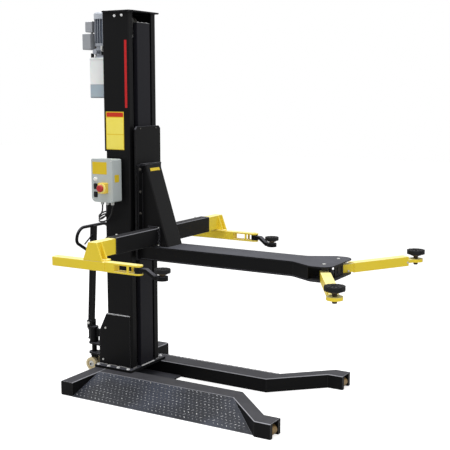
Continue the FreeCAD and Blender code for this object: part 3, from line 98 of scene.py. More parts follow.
class Recipe:
    """A material that is put together node by node."""

    def __init__(self, name):
        self.material = bpy.data.materials.new(name)
        self.material.use_nodes = True
        self.nodes, self.links = self.material.node_tree.nodes, self.material.node_tree.links
        self.nodes.clear()
        self.output = self.nodes.new("ShaderNodeOutputMaterial")
        self.here = self.add("ShaderNodeTexCoord", output="Object")

    def add(self, kind, settings=None, inputs=None, output=0):
        """Any node: its settings first, then the values or leads of its sockets."""
        node = self.nodes.new(kind)
        for name, value in (settings or {}).items():
            setattr(node, name, value)
        for key, value in (inputs or {}).items():
            if isinstance(value, Lead):
                self.links.new(value.socket, node.inputs[key])
            else:
                node.inputs[key].default_value = value
        return Lead(self, node.outputs[output])

    def spread(self, x, y, z):
        """The place on the object, stretched along its axes."""
        return self.add("ShaderNodeMapping", inputs={"Vector": self.here, "Scale": (x, y, z)})

    def noise(self, scale, detail=2.0, rough=0.5, where=None):
        return self.add("ShaderNodeTexNoise", inputs={"Vector": where or self.here, "Scale": scale,
                                                      "Detail": detail, "Roughness": rough})

    def grains(self, scale):
        return self.add("ShaderNodeTexVoronoi", inputs={"Vector": self.here, "Scale": scale},
                        output="Distance")

    def between(self, value, low, high, start=0.0, end=1.0):
        """A smooth step from start to end while value goes from low to high."""
        return self.add("ShaderNodeMapRange", {"interpolation_type": "SMOOTHSTEP", "clamp": True},
                        {"Value": value, "From Min": low, "From Max": high, "To Min": start, "To Max": end})

    def blended(self, share, first, second):
        """One colour where share is 0 and the other where it is 1."""
        return self.add("ShaderNodeMix", {"data_type": "RGBA"}, {0: share, 6: first, 7: second}, output=2)

    def place(self, axis):
        """One coordinate of the point on the object."""
        return self.add("ShaderNodeSeparateXYZ", inputs={"Vector": self.here}, output=axis)

    def matching(self, first, second):
        """How well two directions agree, 1 where they are the same."""
        return self.add("ShaderNodeVectorMath", {"operation": "DOT_PRODUCT"}, {0: first, 1: second},
                        output="Value")

    def face(self):
        return self.add("ShaderNodeNewGeometry", output="Normal")

    def rounded(self, radius):
        """The direction of the surface as if its edges were rounded."""
        return self.add("ShaderNodeBevel", {"samples": 4}, {"Radius": radius})

    def rims(self, radius):
        """Near 1 along sharp edges and 0 on flat faces."""
        return self.between((1 - self.matching(self.rounded(radius), self.face())) * EDGE_GAIN, 0.05, 0.9)

    def ridges(self, radius):
        """Near 1 along the upper edges, where light from above catches a sharp or rounded corner."""
        soft, flat = self.rounded(radius), self.face()
        sharp = self.between((1 - self.matching(soft, flat)) * EDGE_GAIN, 0.1, 0.8)
        lifted = self.between(self.matching(soft, UP), 0.25, 0.5)
        upward = self.matching(flat, UP)
        round_edge = self.between(upward, 0.42, 0.62) * self.between(upward, 0.975, 0.9)
        return (sharp * lifted).most(round_edge)

    def bumped(self, height, strength, distance):
        return self.add("ShaderNodeBump", inputs={"Height": height, "Strength": strength,
                                                  "Distance": distance})

    def finished(self, **sockets):
        """The surface shader, with its sockets named by words joined by underscores."""
        named = {key.replace("_", " ").title().replace("Ior", "IOR"): value
                 for key, value in sockets.items()}
        shader = self.add("ShaderNodeBsdfPrincipled", inputs=named)
        self.links.new(shader.socket, self.output.inputs["Surface"])
        return self.material


def powder_coat(name, colour, pale, top_dust_and_light, ridge, top_dust_and_light_share=0.85, shine=0.8, rough=0.46, gloss=0.1,
                clouding=0.35, edge=0.004, rim_wear_and_glint=0.3):
    """Baked paint: orange peel, clouding, fine rubs, rubbed rims that also carry painted edge glints, dust
    mixed with painted top light on what faces up, and painted highlights along the upper edges.
    """
    r = Recipe(name)
    clouds = r.noise(3.5, 4.0, 0.6)
    specks = r.noise(900.0, 1.0)
    rubs = r.between(r.noise(6.0, 6.0, 0.7, r.spread(30.0, 2.5, 2.5)), 0.66, 0.78)
    marks = r.between(r.noise(5.0, 5.0, 0.7, r.spread(2.5, 24.0, 3.5)), 0.68, 0.8)
    base = r.blended(clouds * clouding, colour, pale)
    base = r.blended(rubs.most(marks) * 0.2, base, pale)
    # Up-facing faces are mixed towards the third colour: partly dust, partly painted top light that makes
    # tops paler than sides.
    top = r.between(r.matching(r.face(), UP), 0.86, 0.97)
    drift = r.between(r.noise(9.0, 5.0, 0.65), 0.2, 0.75, 0.75, 1.0)
    base = r.blended(top * drift * top_dust_and_light_share, base, top_dust_and_light)
    # Sharp rims are mixed towards the ridge colour: partly rubbed paint, partly painted edge glints.
    base = r.blended(r.rims(edge * 0.6) * rim_wear_and_glint, base, ridge)
    # Painted highlights: upper edges are mixed towards the pale ridge colour where light from above would
    # catch them.
    ridges = r.ridges(edge)
    base = r.blended(ridges * shine, base, ridge)
    peel = r.noise(420.0, 2.0)
    return r.finished(base_color=base, roughness=clouds * 0.12 + specks * 0.06 + top * 0.15 + (rough - 0.09),
                      specular_ior_level=gloss, normal=r.bumped(peel, 0.12, 0.0006))


def tread_paint(name):
    """Dark grey paint on tread plate, scuffed pale on its high places and rims, with painted shade on the
    faces that don't look up.
    """
    r = Recipe(name)
    clouds = r.noise(7.0, 6.0, 0.65)
    fine = r.noise(260.0, 3.0)
    upper = r.between(r.matching(r.face(), UP), 0.5, 0.9)
    base = r.blended(clouds, seen(22, 23, 27), seen(54, 57, 65))
    base = r.blended(r.between(r.noise(2.2, 2.0), 0.5, 0.7) * 0.5, base, seen(82, 88, 104))
    scuffs = r.between(r.noise(16.0, 8.0, 0.75), 0.55, 0.75)
    base = r.blended(scuffs * 0.35, base, seen(112, 116, 128))
    # Painted shade: faces that don't look up are darkened to near black.
    base = r.blended(upper, seen(20, 20, 22), base)
    base = r.blended(r.rims(0.004) * 0.8, base, seen(172, 174, 180))
    return r.finished(base_color=base, roughness=clouds * 0.2 + fine * 0.1 + 0.32, specular_ior_level=0.3,
                      metallic=scuffs * 0.3, normal=r.bumped(fine + clouds * 2, 0.25, 0.0008))


def stud_metal(name):
    """The raised lenses of the tread plate: bright steel on their crowns, partly paint rubbed through, partly
    painted glints.
    """
    r = Recipe(name)
    crown = r.between(r.matching(r.face(), UP), 0.80, 0.965)
    # Up-facing crowns go bright in scattered spots: partly bare steel, partly painted glints.
    crown_wear_and_glint = crown * r.between(r.noise(46.0, 5.0, 0.8), 0.44, 0.62)
    base = r.blended(crown_wear_and_glint, seen(56, 58, 66), seen(232, 233, 236))
    return r.finished(base_color=base, roughness=0.5 - crown_wear_and_glint * 0.2, metallic=crown_wear_and_glint * 0.5,
                      specular_ior_level=0.4, normal=r.bumped(r.noise(500.0), 0.2, 0.0004))


def bright_metal(name, colour, dark, rough=0.3, grain=(60.0, 60.0, 900.0), metal=0.85):
    """Zinc or turned steel: directional grain, slight clouding and darker hollows."""
    r = Recipe(name)
    lines = r.noise(1.0, 3.0, 0.6, r.spread(*grain))
    clouds = r.noise(26.0, 4.0, 0.6)
    base = r.blended(clouds * 0.7, colour, dark)
    base = r.blended(r.between(lines, 0.52, 0.75) * 0.4, base, dark)
    return r.finished(base_color=base, metallic=metal, roughness=lines * 0.15 + clouds * 0.12 + (rough - 0.1),
                      normal=r.bumped(lines, 0.15, 0.0003))


def weld_metal(name):
    """A bare weld: silver crests, straw and blue tints, and dark soot in its ripples."""
    r = Recipe(name)
    tint = r.noise(60.0, 3.0)
    soot = r.between(r.noise(210.0, 4.0, 0.7), 0.5, 0.72)
    base = r.blended(r.between(tint, 0.35, 0.7), seen(150, 150, 154), seen(120, 116, 110))
    base = r.blended(soot * 0.7, base, seen(40, 40, 42))
    return r.finished(base_color=base, metallic=0.45, roughness=soot * 0.2 + tint * 0.1 + 0.25,
                      normal=r.bumped(r.noise(400.0, 3.0), 0.3, 0.0005))


def moulded(name, colour, pale, rough=0.45, texture=700.0, depth=0.2, gloss=0.45, coat=0.0):
    """Injection-moulded plastic with a fine spark-eroded grain and rubbed rims."""
    r = Recipe(name)
    clouds = r.noise(12.0, 3.0)
    grain = r.noise(texture, 2.0)
    base = r.blended(clouds * 0.5, colour, pale)
    base = r.blended(r.rims(0.002) * 0.35, base, pale)
    return r.finished(base_color=base, roughness=grain * 0.12 + clouds * 0.08 + (rough - 0.1),
                      specular_ior_level=gloss, coat_weight=coat, normal=r.bumped(grain, depth, 0.0004))


OIL_LEVEL, TANK_FOOT = 2.031, (1.952, 1.943)


def oil_tank(name):
    """Milky polythene: oil shows grey-blue through the lower part, with a dark line at its level."""
    r = Recipe(name)
    high = r.place("Z")
    swirl = r.noise(9.0, 3.0)
    filled = r.between(high, OIL_LEVEL + 0.002, OIL_LEVEL - 0.002)
    rim = r.between((high - OIL_LEVEL).unsigned(), 0.005, 0.001)
    clear = r.blended(swirl, seen(240, 242, 241), seen(228, 231, 231))
    oil = r.blended(swirl, seen(152, 168, 180), seen(176, 190, 199))
    base = r.blended(filled, clear, oil)
    base = r.blended(rim * 0.5, base, seen(120, 132, 142))
    foot = r.between(high, *TANK_FOOT)
    base = r.blended(foot * 0.7, base, seen(96, 108, 118))
    return r.finished(base_color=base, roughness=swirl * 0.1 + 0.28, specular_ior_level=0.5,
                      subsurface_weight=0.15, normal=r.bumped(r.noise(60.0, 2.0), 0.15, 0.001))


def pad_rubber(name):
    """Moulded black rubber, dusty in its hollows and grey on its rubbed ribs."""
    r = Recipe(name)
    clouds = r.noise(40.0, 5.0, 0.65)
    base = r.blended(clouds * 0.5, seen(12, 12, 13), seen(34, 34, 36))
    base = r.blended(r.rims(0.002) * 0.6, base, seen(78, 78, 82))
    return r.finished(base_color=base, roughness=clouds * 0.15 + 0.5, specular_ior_level=0.2,
                      normal=r.bumped(r.grains(1500.0) + clouds, 0.3, 0.0005))


def cable_jacket(name):
    """Smooth black jacket with a faint lengthwise rub."""
    r = Recipe(name)
    clouds = r.noise(120.0, 3.0)
    base = r.blended(clouds, seen(10, 10, 12), seen(30, 30, 32))
    return r.finished(base_color=base, roughness=clouds * 0.2 + 0.35, specular_ior_level=0.3,
                      normal=r.bumped(r.noise(900.0), 0.15, 0.0003))


def vinyl(name, colour, pale, rough=0.35):
    """Printed vinyl film: an even colour with a slight orange peel and faint fading."""
    r = Recipe(name)
    clouds = r.noise(14.0, 3.0)
    base = r.blended(clouds * 0.5, colour, pale)
    return r.finished(base_color=base, roughness=clouds * 0.1 + (rough - 0.05), specular_ior_level=0.25,
                      normal=r.bumped(r.noise(300.0), 0.08, 0.0004))


MOTOR_AXIS_X = -0.062
COWL_FOOT, COWL_RIM, COWL_TOP, COWL_SLOTS = (2.462, 2.47), (0.0725, 0.0745), (2.510, 2.511), 20.0


def motor_enamel(name):
    """Blue-grey enamel over cast aluminium, dark between the fins, with painted shade in the fan cover's
    slots.
    """
    r = Recipe(name)
    clouds = r.noise(18.0, 4.0, 0.6)
    base = r.blended(clouds, seen(66, 74, 88), seen(98, 106, 120))
    high, x, y = r.place("Z"), r.place("X") - MOTOR_AXIS_X, r.place("Y")
    reach = (x * x + y * y) ** 0.5
    base = r.blended(r.between(high, *COWL_FOOT), base, seen(150, 156, 166))
    base = r.blended(r.between(reach, *COWL_RIM) * 0.5, base, seen(196, 200, 207))
    # Painted shade: the fan cover's slot openings are painted near black.
    shaded_slots = r.between(((y.turn_from(x) / (2 * PI) + 0.5) * COWL_SLOTS).fraction(), 0.42, 0.5)
    ring = r.between(reach, 0.020, 0.022) * r.between(reach, 0.060, 0.058) * r.between(high, *COWL_TOP)
    base = r.blended(shaded_slots * ring, base, seen(16, 17, 19))
    base = r.blended(r.rims(0.0025) * 0.5, base, seen(205, 209, 215))
    return r.finished(base_color=base, roughness=clouds * 0.15 + 0.3, specular_ior_level=0.4,
                      metallic=0.25, normal=r.bumped(r.noise(180.0, 3.0) - shaded_slots * ring * 3, 0.25, 0.0008))


FLOOR_GLOW = 0.62


def studio_floor(name):
    """A pale floor that shows as white to the camera and still takes the object's shadow."""
    r = Recipe(name)
    shade = r.add("ShaderNodeBsdfDiffuse", inputs={"Color": (0.8, 0.8, 0.8, 1.0)})
    glow = r.add("ShaderNodeEmission", inputs={"Color": WHITE, "Strength": FLOOR_GLOW})
    both = r.add("ShaderNodeAddShader", inputs={0: shade, 1: glow})
    rays = r.add("ShaderNodeLightPath", output="Is Camera Ray")
    mixed = r.add("ShaderNodeMixShader", inputs={0: rays, 1: shade, 2: both})
    r.links.new(mixed.socket, r.output.inputs["Surface"])
    return r.material


FINISHES = {}
SPECIAL_FINISHES = {"pivot_pins": "pin_steel", "crossbeam": "beam_paint", "brace": "beam_paint",
                    "rear_crossbar": "frame_paint", "right_leg": "frame_paint", "left_leg": "frame_paint",
                    "foot_gussets": "gusset_highlight_paint"}


def mix_finishes(colours):
    """Every finish, under the name of its material slot or of the place that it is for."""
    black, yellow = tuple(colours.frame_black), tuple(colours.arm_yellow)
    grey, red = tuple(colours.box_grey), tuple(colours.stripe_red)
    soft_black = seen(26, 26, 28)
    FINISHES.update({
        # In each powder coat the third colour is dust mixed with painted top light, and the fourth is for
        # rubbed rims and painted edge highlights.
        "black_paint": powder_coat("black_powder_coat", black, soft_black, seen(86, 87, 94),
                                   seen(112, 112, 120), 0.85, 0.45),
        # Brace and crossbeam: a strong rim mix, mostly painted edge glints.
        "beam_paint": powder_coat("beam_powder_coat", black, soft_black, seen(64, 64, 68),
                                  seen(140, 140, 146), 0.45, 0.85, edge=0.005, rim_wear_and_glint=0.7),
        # Gussets: black paint with top faces and upper edges painted near white, as painted highlights.
        "gusset_highlight_paint": powder_coat("gusset_powder_coat", black, soft_black, seen(200, 201, 206),
                                    seen(238, 239, 242), 0.9, 0.95, edge=0.006, rim_wear_and_glint=0.1),
        # Legs and crossbar: paler tops and pale upper edges, which are painted top light and painted
        # highlights.
        "frame_paint": powder_coat("frame_powder_coat", black, soft_black, seen(80, 80, 85),
                                   seen(190, 191, 198), 0.88, 0.8, edge=0.005, rim_wear_and_glint=0.12),
        "cover_paint": powder_coat("cover_powder_coat", seen(24, 24, 29), seen(36, 36, 42), seen(70, 70, 78),
                                   seen(110, 110, 120), 0.8, 0.4),
        # Arms: tops painted pale yellow, which is dust mixed with painted top light, and upper edges painted
        # with highlights.
        "yellow_paint": powder_coat("yellow_powder_coat", yellow, paler(yellow, 0.08), seen(253, 244, 178),
                                    seen(255, 249, 205), 0.8, 0.6, 0.42, 0.3, 0.6, 0.003),
        "cylinder_paint": powder_coat("cylinder_enamel", seen(24, 24, 26), seen(46, 46, 50),
                                      seen(80, 80, 84), seen(120, 120, 124), 0.5, 0.4),
        # Control box: top painted near white, which is dust mixed with painted top light.
        "grey_paint": powder_coat("box_enamel", seen(146, 149, 154), seen(164, 166, 170), seen(232, 233, 235),
                                  seen(236, 236, 238), 0.8, 0.5, 0.45, 0.35),
        "tread_plate": tread_paint("tread_plate_paint"),
        "zinc_steel": bright_metal("zinc_plate", seen(232, 232, 228), seen(176, 177, 176), metal=0.6),
        # Zinc painted near white: partly the plating's own colour, partly a painted highlight.
        "highlit_zinc": bright_metal("bright_zinc_plate", seen(250, 250, 250), seen(214, 215, 216), metal=0.3),
        "chain_steel": bright_metal("oiled_chain_steel", seen(120, 117, 112), seen(48, 46, 44), 0.38),
        # Screw steel tinted warm brown: partly the steel's own dark tone, partly a painted reflection of the
        # yellow arms.
        "blued_steel": bright_metal("blued_screw_steel", seen(92, 80, 64), seen(38, 33, 28), 0.4),
        "pin_steel": bright_metal("oiled_pin_steel", seen(62, 60, 58), seen(30, 29, 28), 0.4),
        "cast_metal": bright_metal("pump_casting", seen(184, 188, 196), seen(112, 118, 128), 0.42,
                                   (90.0, 90.0, 90.0), 0.6),
        "grey_plastic": moulded("control_box_plastic", grey, paler(grey, 0.12)),
        "white_plastic": moulded("lamp_plastic", seen(240, 240, 238), seen(250, 250, 250), 0.2, 300.0, 0.05),
        "yellow_plastic": moulded("stop_plate_plastic", seen(232, 194, 48), seen(246, 222, 112), 0.4),
        "collar_plastic": moulded("stop_collar_plastic", seen(250, 232, 120), seen(255, 244, 170), 0.35),
        "red_plastic": moulded("stop_button_plastic", seen(170, 8, 12), seen(204, 36, 34), 0.28, 300.0, 0.06,
                               0.5, 0.3),
        "button_plastic": moulded("push_button_plastic", seen(12, 12, 13), seen(34, 34, 37), 0.4, gloss=0.2),
        "gland_plastic": moulded("gland_nylon", seen(188, 189, 188), seen(222, 223, 222), 0.45),
        "wheel_nylon": moulded("steering_wheel_nylon", seen(214, 196, 150), seen(234, 222, 190), 0.5),
        "roller_brass": bright_metal("leg_roller_brass", seen(158, 128, 78), seen(74, 56, 30), 0.35,
                                     (60.0, 900.0, 60.0), 0.6),
        "cable_rubber": cable_jacket("cable_jacket"),
        "pad_rubber": pad_rubber("lift_pad_rubber"),
        "tank_plastic": oil_tank("oil_tank_polythene"),
        "motor_paint": motor_enamel("motor_enamel"),
        "stud_metal": stud_metal("tread_stud_metal"),
        "weld_metal": weld_metal("bare_weld"),
        "stripe": vinyl("stripe_vinyl", red, paler(red, 0.03)),
        "label": vinyl("label_vinyl", seen(232, 200, 44), seen(240, 214, 70)),
        "label_band": vinyl("label_band_vinyl", seen(196, 44, 20), seen(208, 66, 36)),
        "label_field": vinyl("label_field_vinyl", seen(246, 228, 92), seen(250, 236, 120)),
        "sticker": vinyl("sticker_vinyl", seen(222, 190, 34), seen(230, 204, 64)),
    })


def finish_for(name):
    """A finish by its name. The first call mixes them all, in the colours that the panel shows."""
    if not FINISHES:
        mix_finishes(bpy.context.scene.lift_colours)
    return FINISHES[name]


# ---- Modelling helpers ----

def only(obj):
    """Deselect everything and make one object the active one."""
    bpy.ops.object.select_all(action="DESELECT")
    obj.hide_set(False)
    obj.select_set(True)
    bpy.context.view_layer.objects.active = obj
    return obj


def added(name, data):
    """A new object in the scene."""
    obj = bpy.data.objects.new(name, data)
    bpy.context.scene.collection.objects.link(obj)
    return obj


def settle(obj):
    """Put an object's place, turn and size into its mesh."""
    only(obj)
    bpy.ops.object.transform_apply(location=True, rotation=True, scale=True)
    return obj


def bar(radius, length, centre=(0, 0, 0), axis="Z", sides=24, tip=None):
    """A round bar, or a cone to a tip radius, centred on a point along an axis."""
    turn = {"Y": (-PI / 2, 0, 0), "Z": (0, 0, 0)}[axis]
    bpy.ops.mesh.primitive_cone_add(vertices=sides, radius1=radius, radius2=radius if tip is None else tip,
                                    depth=length, location=centre, rotation=turn)
    return settle(bpy.context.object)


def block(low, high):
    """A block between two corners."""
    low, high = Vector(low), Vector(high)
    bpy.ops.mesh.primitive_cube_add(size=1, location=(low + high) / 2, scale=high - low)
    return settle(bpy.context.object)


def upright(middle, run):
    """Edges that run along Z."""
    return abs(run.z) > 0.9


def above(height):
    """Edges above a height."""
    return lambda middle, run: middle.z > height


def below(height):
    """Edges below a height."""
    return lambda middle, run: middle.z < height


def topmost(middle, normal):
    """Faces that look up."""
    return normal.z > 0.9


def on_rib(middle, ribs):
    """Whether a place lies on one of so many ribs round the Z axis, and not in a gap."""
    return (math.atan2(middle.y, middle.x) / (2 * PI) * ribs) % 1 < 0.5


def far_out(middle):
    """How far a place lies from the Z axis."""
    return math.hypot(middle.x, middle.y)


def pick(obj, kind, test):
    """In edit mode, select the faces or edges whose middle and direction pass a test."""
    bpy.ops.mesh.select_mode(type=kind)
    bpy.ops.mesh.select_all(action="DESELECT")
    mesh = bmesh.from_edit_mesh(obj.data)
    if kind == "FACE":
        for face in mesh.faces:
            face.select_set(test(face.calc_center_median(), face.normal))
    else:
        for edge in mesh.edges:
            ends = [v.co for v in edge.verts]
            edge.select_set(test((ends[0] + ends[1]) / 2, (ends[1] - ends[0]).normalized()))
    mesh.select_flush_mode()
    bmesh.update_edit_mesh(obj.data)


def edited(obj, steps):
    """Run modelling steps on one object in edit mode."""
    only(obj)
    bpy.ops.object.mode_set(mode="EDIT")
    steps(obj)
    bpy.ops.object.mode_set(mode="OBJECT")
    return obj


def stepped(size, *steps):
    """Inset the selected faces step by step. A step is its width and its rise, as shares of a size."""
    for width, rise in steps:
        bpy.ops.mesh.inset(thickness=size * width, depth=size * rise)


def eased(obj, width, test=lambda middle, run: True, segments=2):
    """Bevel the edges that pass a test."""
    def steps(obj):
        pick(obj, "EDGE", test)
        bpy.ops.mesh.bevel(offset=width, offset_type="OFFSET", segments=segments, affect="EDGES")
    return edited(obj, steps)


def drilled(obj, *tools):
    """Cut tools out of an object. The tools are removed."""
    for tool in tools:
        cut = obj.modifiers.new("cut", "BOOLEAN")
        cut.operation = "DIFFERENCE"
        cut.solver = "EXACT"
        cut.object = tool
        only(obj)
        bpy.ops.object.modifier_apply(modifier=cut.name)
        bpy.data.objects.remove(tool)
    return obj


def joined(objects):
    """Make several objects one, with their places in the mesh."""
    objects = [settle(obj) for obj in objects]
    bpy.ops.object.select_all(action="DESELECT")
    for obj in objects:
        obj.select_set(True)
    bpy.context.view_layer.objects.active = objects[0]
    if len(objects) > 1:
        bpy.ops.object.join()
    return bpy.context.view_layer.objects.active


def copies(model, places):
    """Copies of a model, each with its own mesh, put where a matrix says. The model is removed."""
    made = []
    for place in places:
        copy = added(model.name, model.data.copy())
        copy.matrix_world = place
        made.append(copy)
    bpy.data.objects.remove(model)
    return made


def aimed(point, direction, spin=0.0):
    """The matrix that carries a model's +Z to a direction and its origin to a point."""
    turn = Vector(direction).to_track_quat("Z", "Y").to_matrix().to_4x4()
    return Matrix.Translation(point) @ turn @ Matrix.Rotation(spin, 4, "Z")


def laid(point, across, up):
    """The matrix that lays a model's X along one direction and its Y along another."""
    across, up = Vector(across).normalized(), Vector(up).normalized()
    return Matrix.Translation(point) @ Matrix((across, up, across.cross(up))).transposed().to_4x4()


def both_ends(left, spin):
    """The places of a pin's two nuts, from the left one's."""
    x, y, z = left
    return [aimed((x, sign * y, z), (0, sign, 0), spin) for _, sign in SIDES]


def put(obj, place):
    """Carry an object to where a matrix says, in its mesh."""
    obj.matrix_world = place
    return settle(obj)


def fitted(obj, name, body, slot, material=None, angle=35.0):
    """Name a piece, smooth its round faces, give it its finish and let it ride on a body."""
    only(obj)
    obj.name = name
    obj.data.name = name
    bpy.ops.object.shade_smooth_by_angle(angle=math.radians(angle))
    obj.data.materials.clear()
    obj.data.materials.append(finish_for(material or slot))
    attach(obj, body)
    return obj


def repeated(model, places, name, body="base", slot="zinc_steel", material=None, angle=35.0):
    """One piece from copies of a model. Most are zinc-plated fasteners on the base."""
    return fitted(joined(copies(model, places)), name, body, slot, material, angle)


def hex_bolt(size, stud=True):
    """A washer and a chamfered hexagon head with its raised pad, standing on z = 0."""
    washer = eased(bar(size * 1.1, size * 0.2, (0, 0, size * 0.1), sides=28), size * 0.05)
    head = bar(size * 0.92, size * 0.62, (0, 0, size * 0.51), sides=6)

    def steps(obj):
        pick(obj, "FACE", topmost)
        stepped(size, (0.16, 0.1), (0.2, 0.0), (0.06, -0.05))
    head = eased(edited(head, steps), size * 0.03, upright)
    pieces = [washer, head]
    if stud:
        pieces.append(eased(bar(size * 0.42, size * 0.2, (0, 0, size * 0.7), sides=16), size * 0.04))
    return joined(pieces)


def socket_bolt(size, height=0.8):
    """A round cap head with a six-sided socket, standing on z = 0."""
    head = bar(size * 0.8, size * height, (0, 0, size * height / 2), sides=24)

    def steps(obj):
        pick(obj, "FACE", topmost)
        stepped(size, (0.3, 0.0), (0.05, -height / 2))
    return eased(edited(head, steps), size * 0.06, lambda middle, run: middle.z > size * height - 1e-5
                 and far_out(middle) > size * 0.7)


def screw_head(size):
    """A flat pan head with a cross slot, standing on z = 0."""
    head = eased(bar(size, size * 0.45, (0, 0, size * 0.225), sides=20), size * 0.15, above(size * 0.4))
    return drilled(head, block((-size * 0.6, -size * 0.11, size * 0.25), (size * 0.6, size * 0.11, size)),
                   block((-size * 0.11, -size * 0.6, size * 0.25), (size * 0.11, size * 0.6, size)))


def patch(width, height, thickness, corner):
    """A thin sheet with rounded corners, centred on the origin and lying on z = 0."""
    sheet = block((-width / 2, -height / 2, -thickness / 4), (width / 2, height / 2, thickness))
    return eased(sheet, corner, upright, 4)


def coil(radius, wire, pitch, turns, sides, steps):
    """A helical ridge round the Z axis, from z = 0, with closed ends."""
    bpy.ops.mesh.primitive_circle_add(vertices=sides, radius=wire, fill_type="NOTHING",
                                      location=(radius, 0, 0), rotation=(PI / 2, 0, 0))
    ring = settle(bpy.context.object)
    winding = ring.modifiers.new("winding", "SCREW")
    winding.axis = "Z"
    winding.screw_offset = pitch
    winding.iterations = turns
    winding.steps = winding.render_steps = steps
    only(ring)
    bpy.ops.object.modifier_apply(modifier=winding.name)

    def closed(obj):
        bpy.ops.mesh.select_all(action="SELECT")
        bpy.ops.mesh.remove_doubles(threshold=1e-6)
        bpy.ops.mesh.fill_holes(sides=sides)
        bpy.ops.mesh.select_all(action="SELECT")
        bpy.ops.mesh.normals_make_consistent(inside=False)
    return edited(ring, closed)


def dome(segments, scale, foot_z):
    """The part of a stretched sphere above a height, closed with a flat foot."""
    bpy.ops.mesh.primitive_uv_sphere_add(segments=segments, ring_count=6, radius=1.0, scale=scale)

    def steps(obj):
        bpy.ops.mesh.select_all(action="SELECT")
        bpy.ops.mesh.bisect(plane_co=(0, 0, foot_z), plane_no=UP, clear_inner=True, use_fill=True)
    return edited(settle(bpy.context.object), steps)


WELD_PITCH = 0.006


def welded(name, body, slot, runs, width=0.004, material=None):
    """Weld seams of overlapping ripples. A run is its start, its end and the way that it faces."""
    places = []
    for start, end, outward in runs:
        start, end, outward = Vector(start), Vector(end), Vector(outward).normalized()
        along = (end - start).normalized()
        count = max(2, int((end - start).length / WELD_PITCH))
        turn = Matrix((along, outward.cross(along), outward)).transposed().to_4x4()
        for index in range(count + 1):
            places.append(Matrix.Translation(start.lerp(end, index / count)) @ turn)
    ripple = dome(8, (WELD_PITCH * 0.8, width, width * 0.8), -width * 0.3)
    return repeated(ripple, places, name, body, slot, material)


# ---- Sizes and colours that a user would change ----

def length(name, about, default, low, high):
    """A length that the panel shows."""
    return bpy.props.FloatProperty(name=name, description=about, default=default, min=low, max=high,
                                   unit="LENGTH")


def colour(name, about, default):
    """A paint colour that the panel shows."""
    return bpy.props.FloatVectorProperty(name=name, description=about, default=default, size=4,
                                         subtype="COLOR", min=0, max=1)


class LiftSizes(bpy.types.PropertyGroup):
    """Sizes of the fittings that the scene adds."""
    stud_pitch: length("Stud pitch", "Distance between tread studs", 0.030, 0.02, 0.06)
    stud_height: length("Stud height", "How far a stud stands up", 0.0018, 0.0005, 0.004)
    foot_bolt: length("Foot bolt", "Radius of the foot bolts' heads", 0.013, 0.006, 0.02)
    cable_diameter: length("Cable", "Diameter of a control cable", 0.010, 0.004, 0.012)
    chain_pitch: length("Chain pitch", "Distance between the chain's pins", 0.01905, 0.012, 0.03)
    screw_pitch: length("Pad screw pitch", "Rise of a pad screw's thread in a turn", 0.004, 0.002, 0.008)


class LiftColours(bpy.types.PropertyGroup):
    """Paint and film colours."""
    frame_black: colour("Frame", "Column, legs, arms' head and crossbeam", seen(11, 11, 12))
    arm_yellow: colour("Arms", "The four arms", seen(238, 210, 34))
    box_grey: colour("Control box", "The control box's case", seen(182, 190, 190))
    stripe_red: colour("Stripe", "The stripe on the column", seen(186, 10, 14))


class LiftStudio(bpy.types.PropertyGroup):
    """Camera and lights."""
    lens: bpy.props.FloatProperty(name="Lens", description="Focal length in millimetres",
                                  default=73.97, min=20, max=200)
    key_power: bpy.props.FloatProperty(name="Top light", description="Power of the softbox overhead",
                                       default=190.0, min=0, max=2000, unit="POWER")
    side_power: bpy.props.FloatProperty(name="Front light", description="Power of the softbox in front",
                                        default=50.0, min=0, max=2000, unit="POWER")
    ambient: bpy.props.FloatProperty(name="Ambient", description="Strength of the world's light",
                                     default=0.52, min=0, max=2)


# ---- Operators ----

SOFTBOXES = (("top_softbox", (0.2, -0.4, 5.2), (0.7, 0.0, 1.0), 3.6, "key_power"),
             ("front_softbox", (4.6, -3.6, 2.6), (0.5, 0.0, 1.1), 2.4, "side_power"))
CAMERA_PLACE = (3.8836, -5.1010, 1.9945)
CAMERA_TURN = (81.7, 0.0, 30.5)


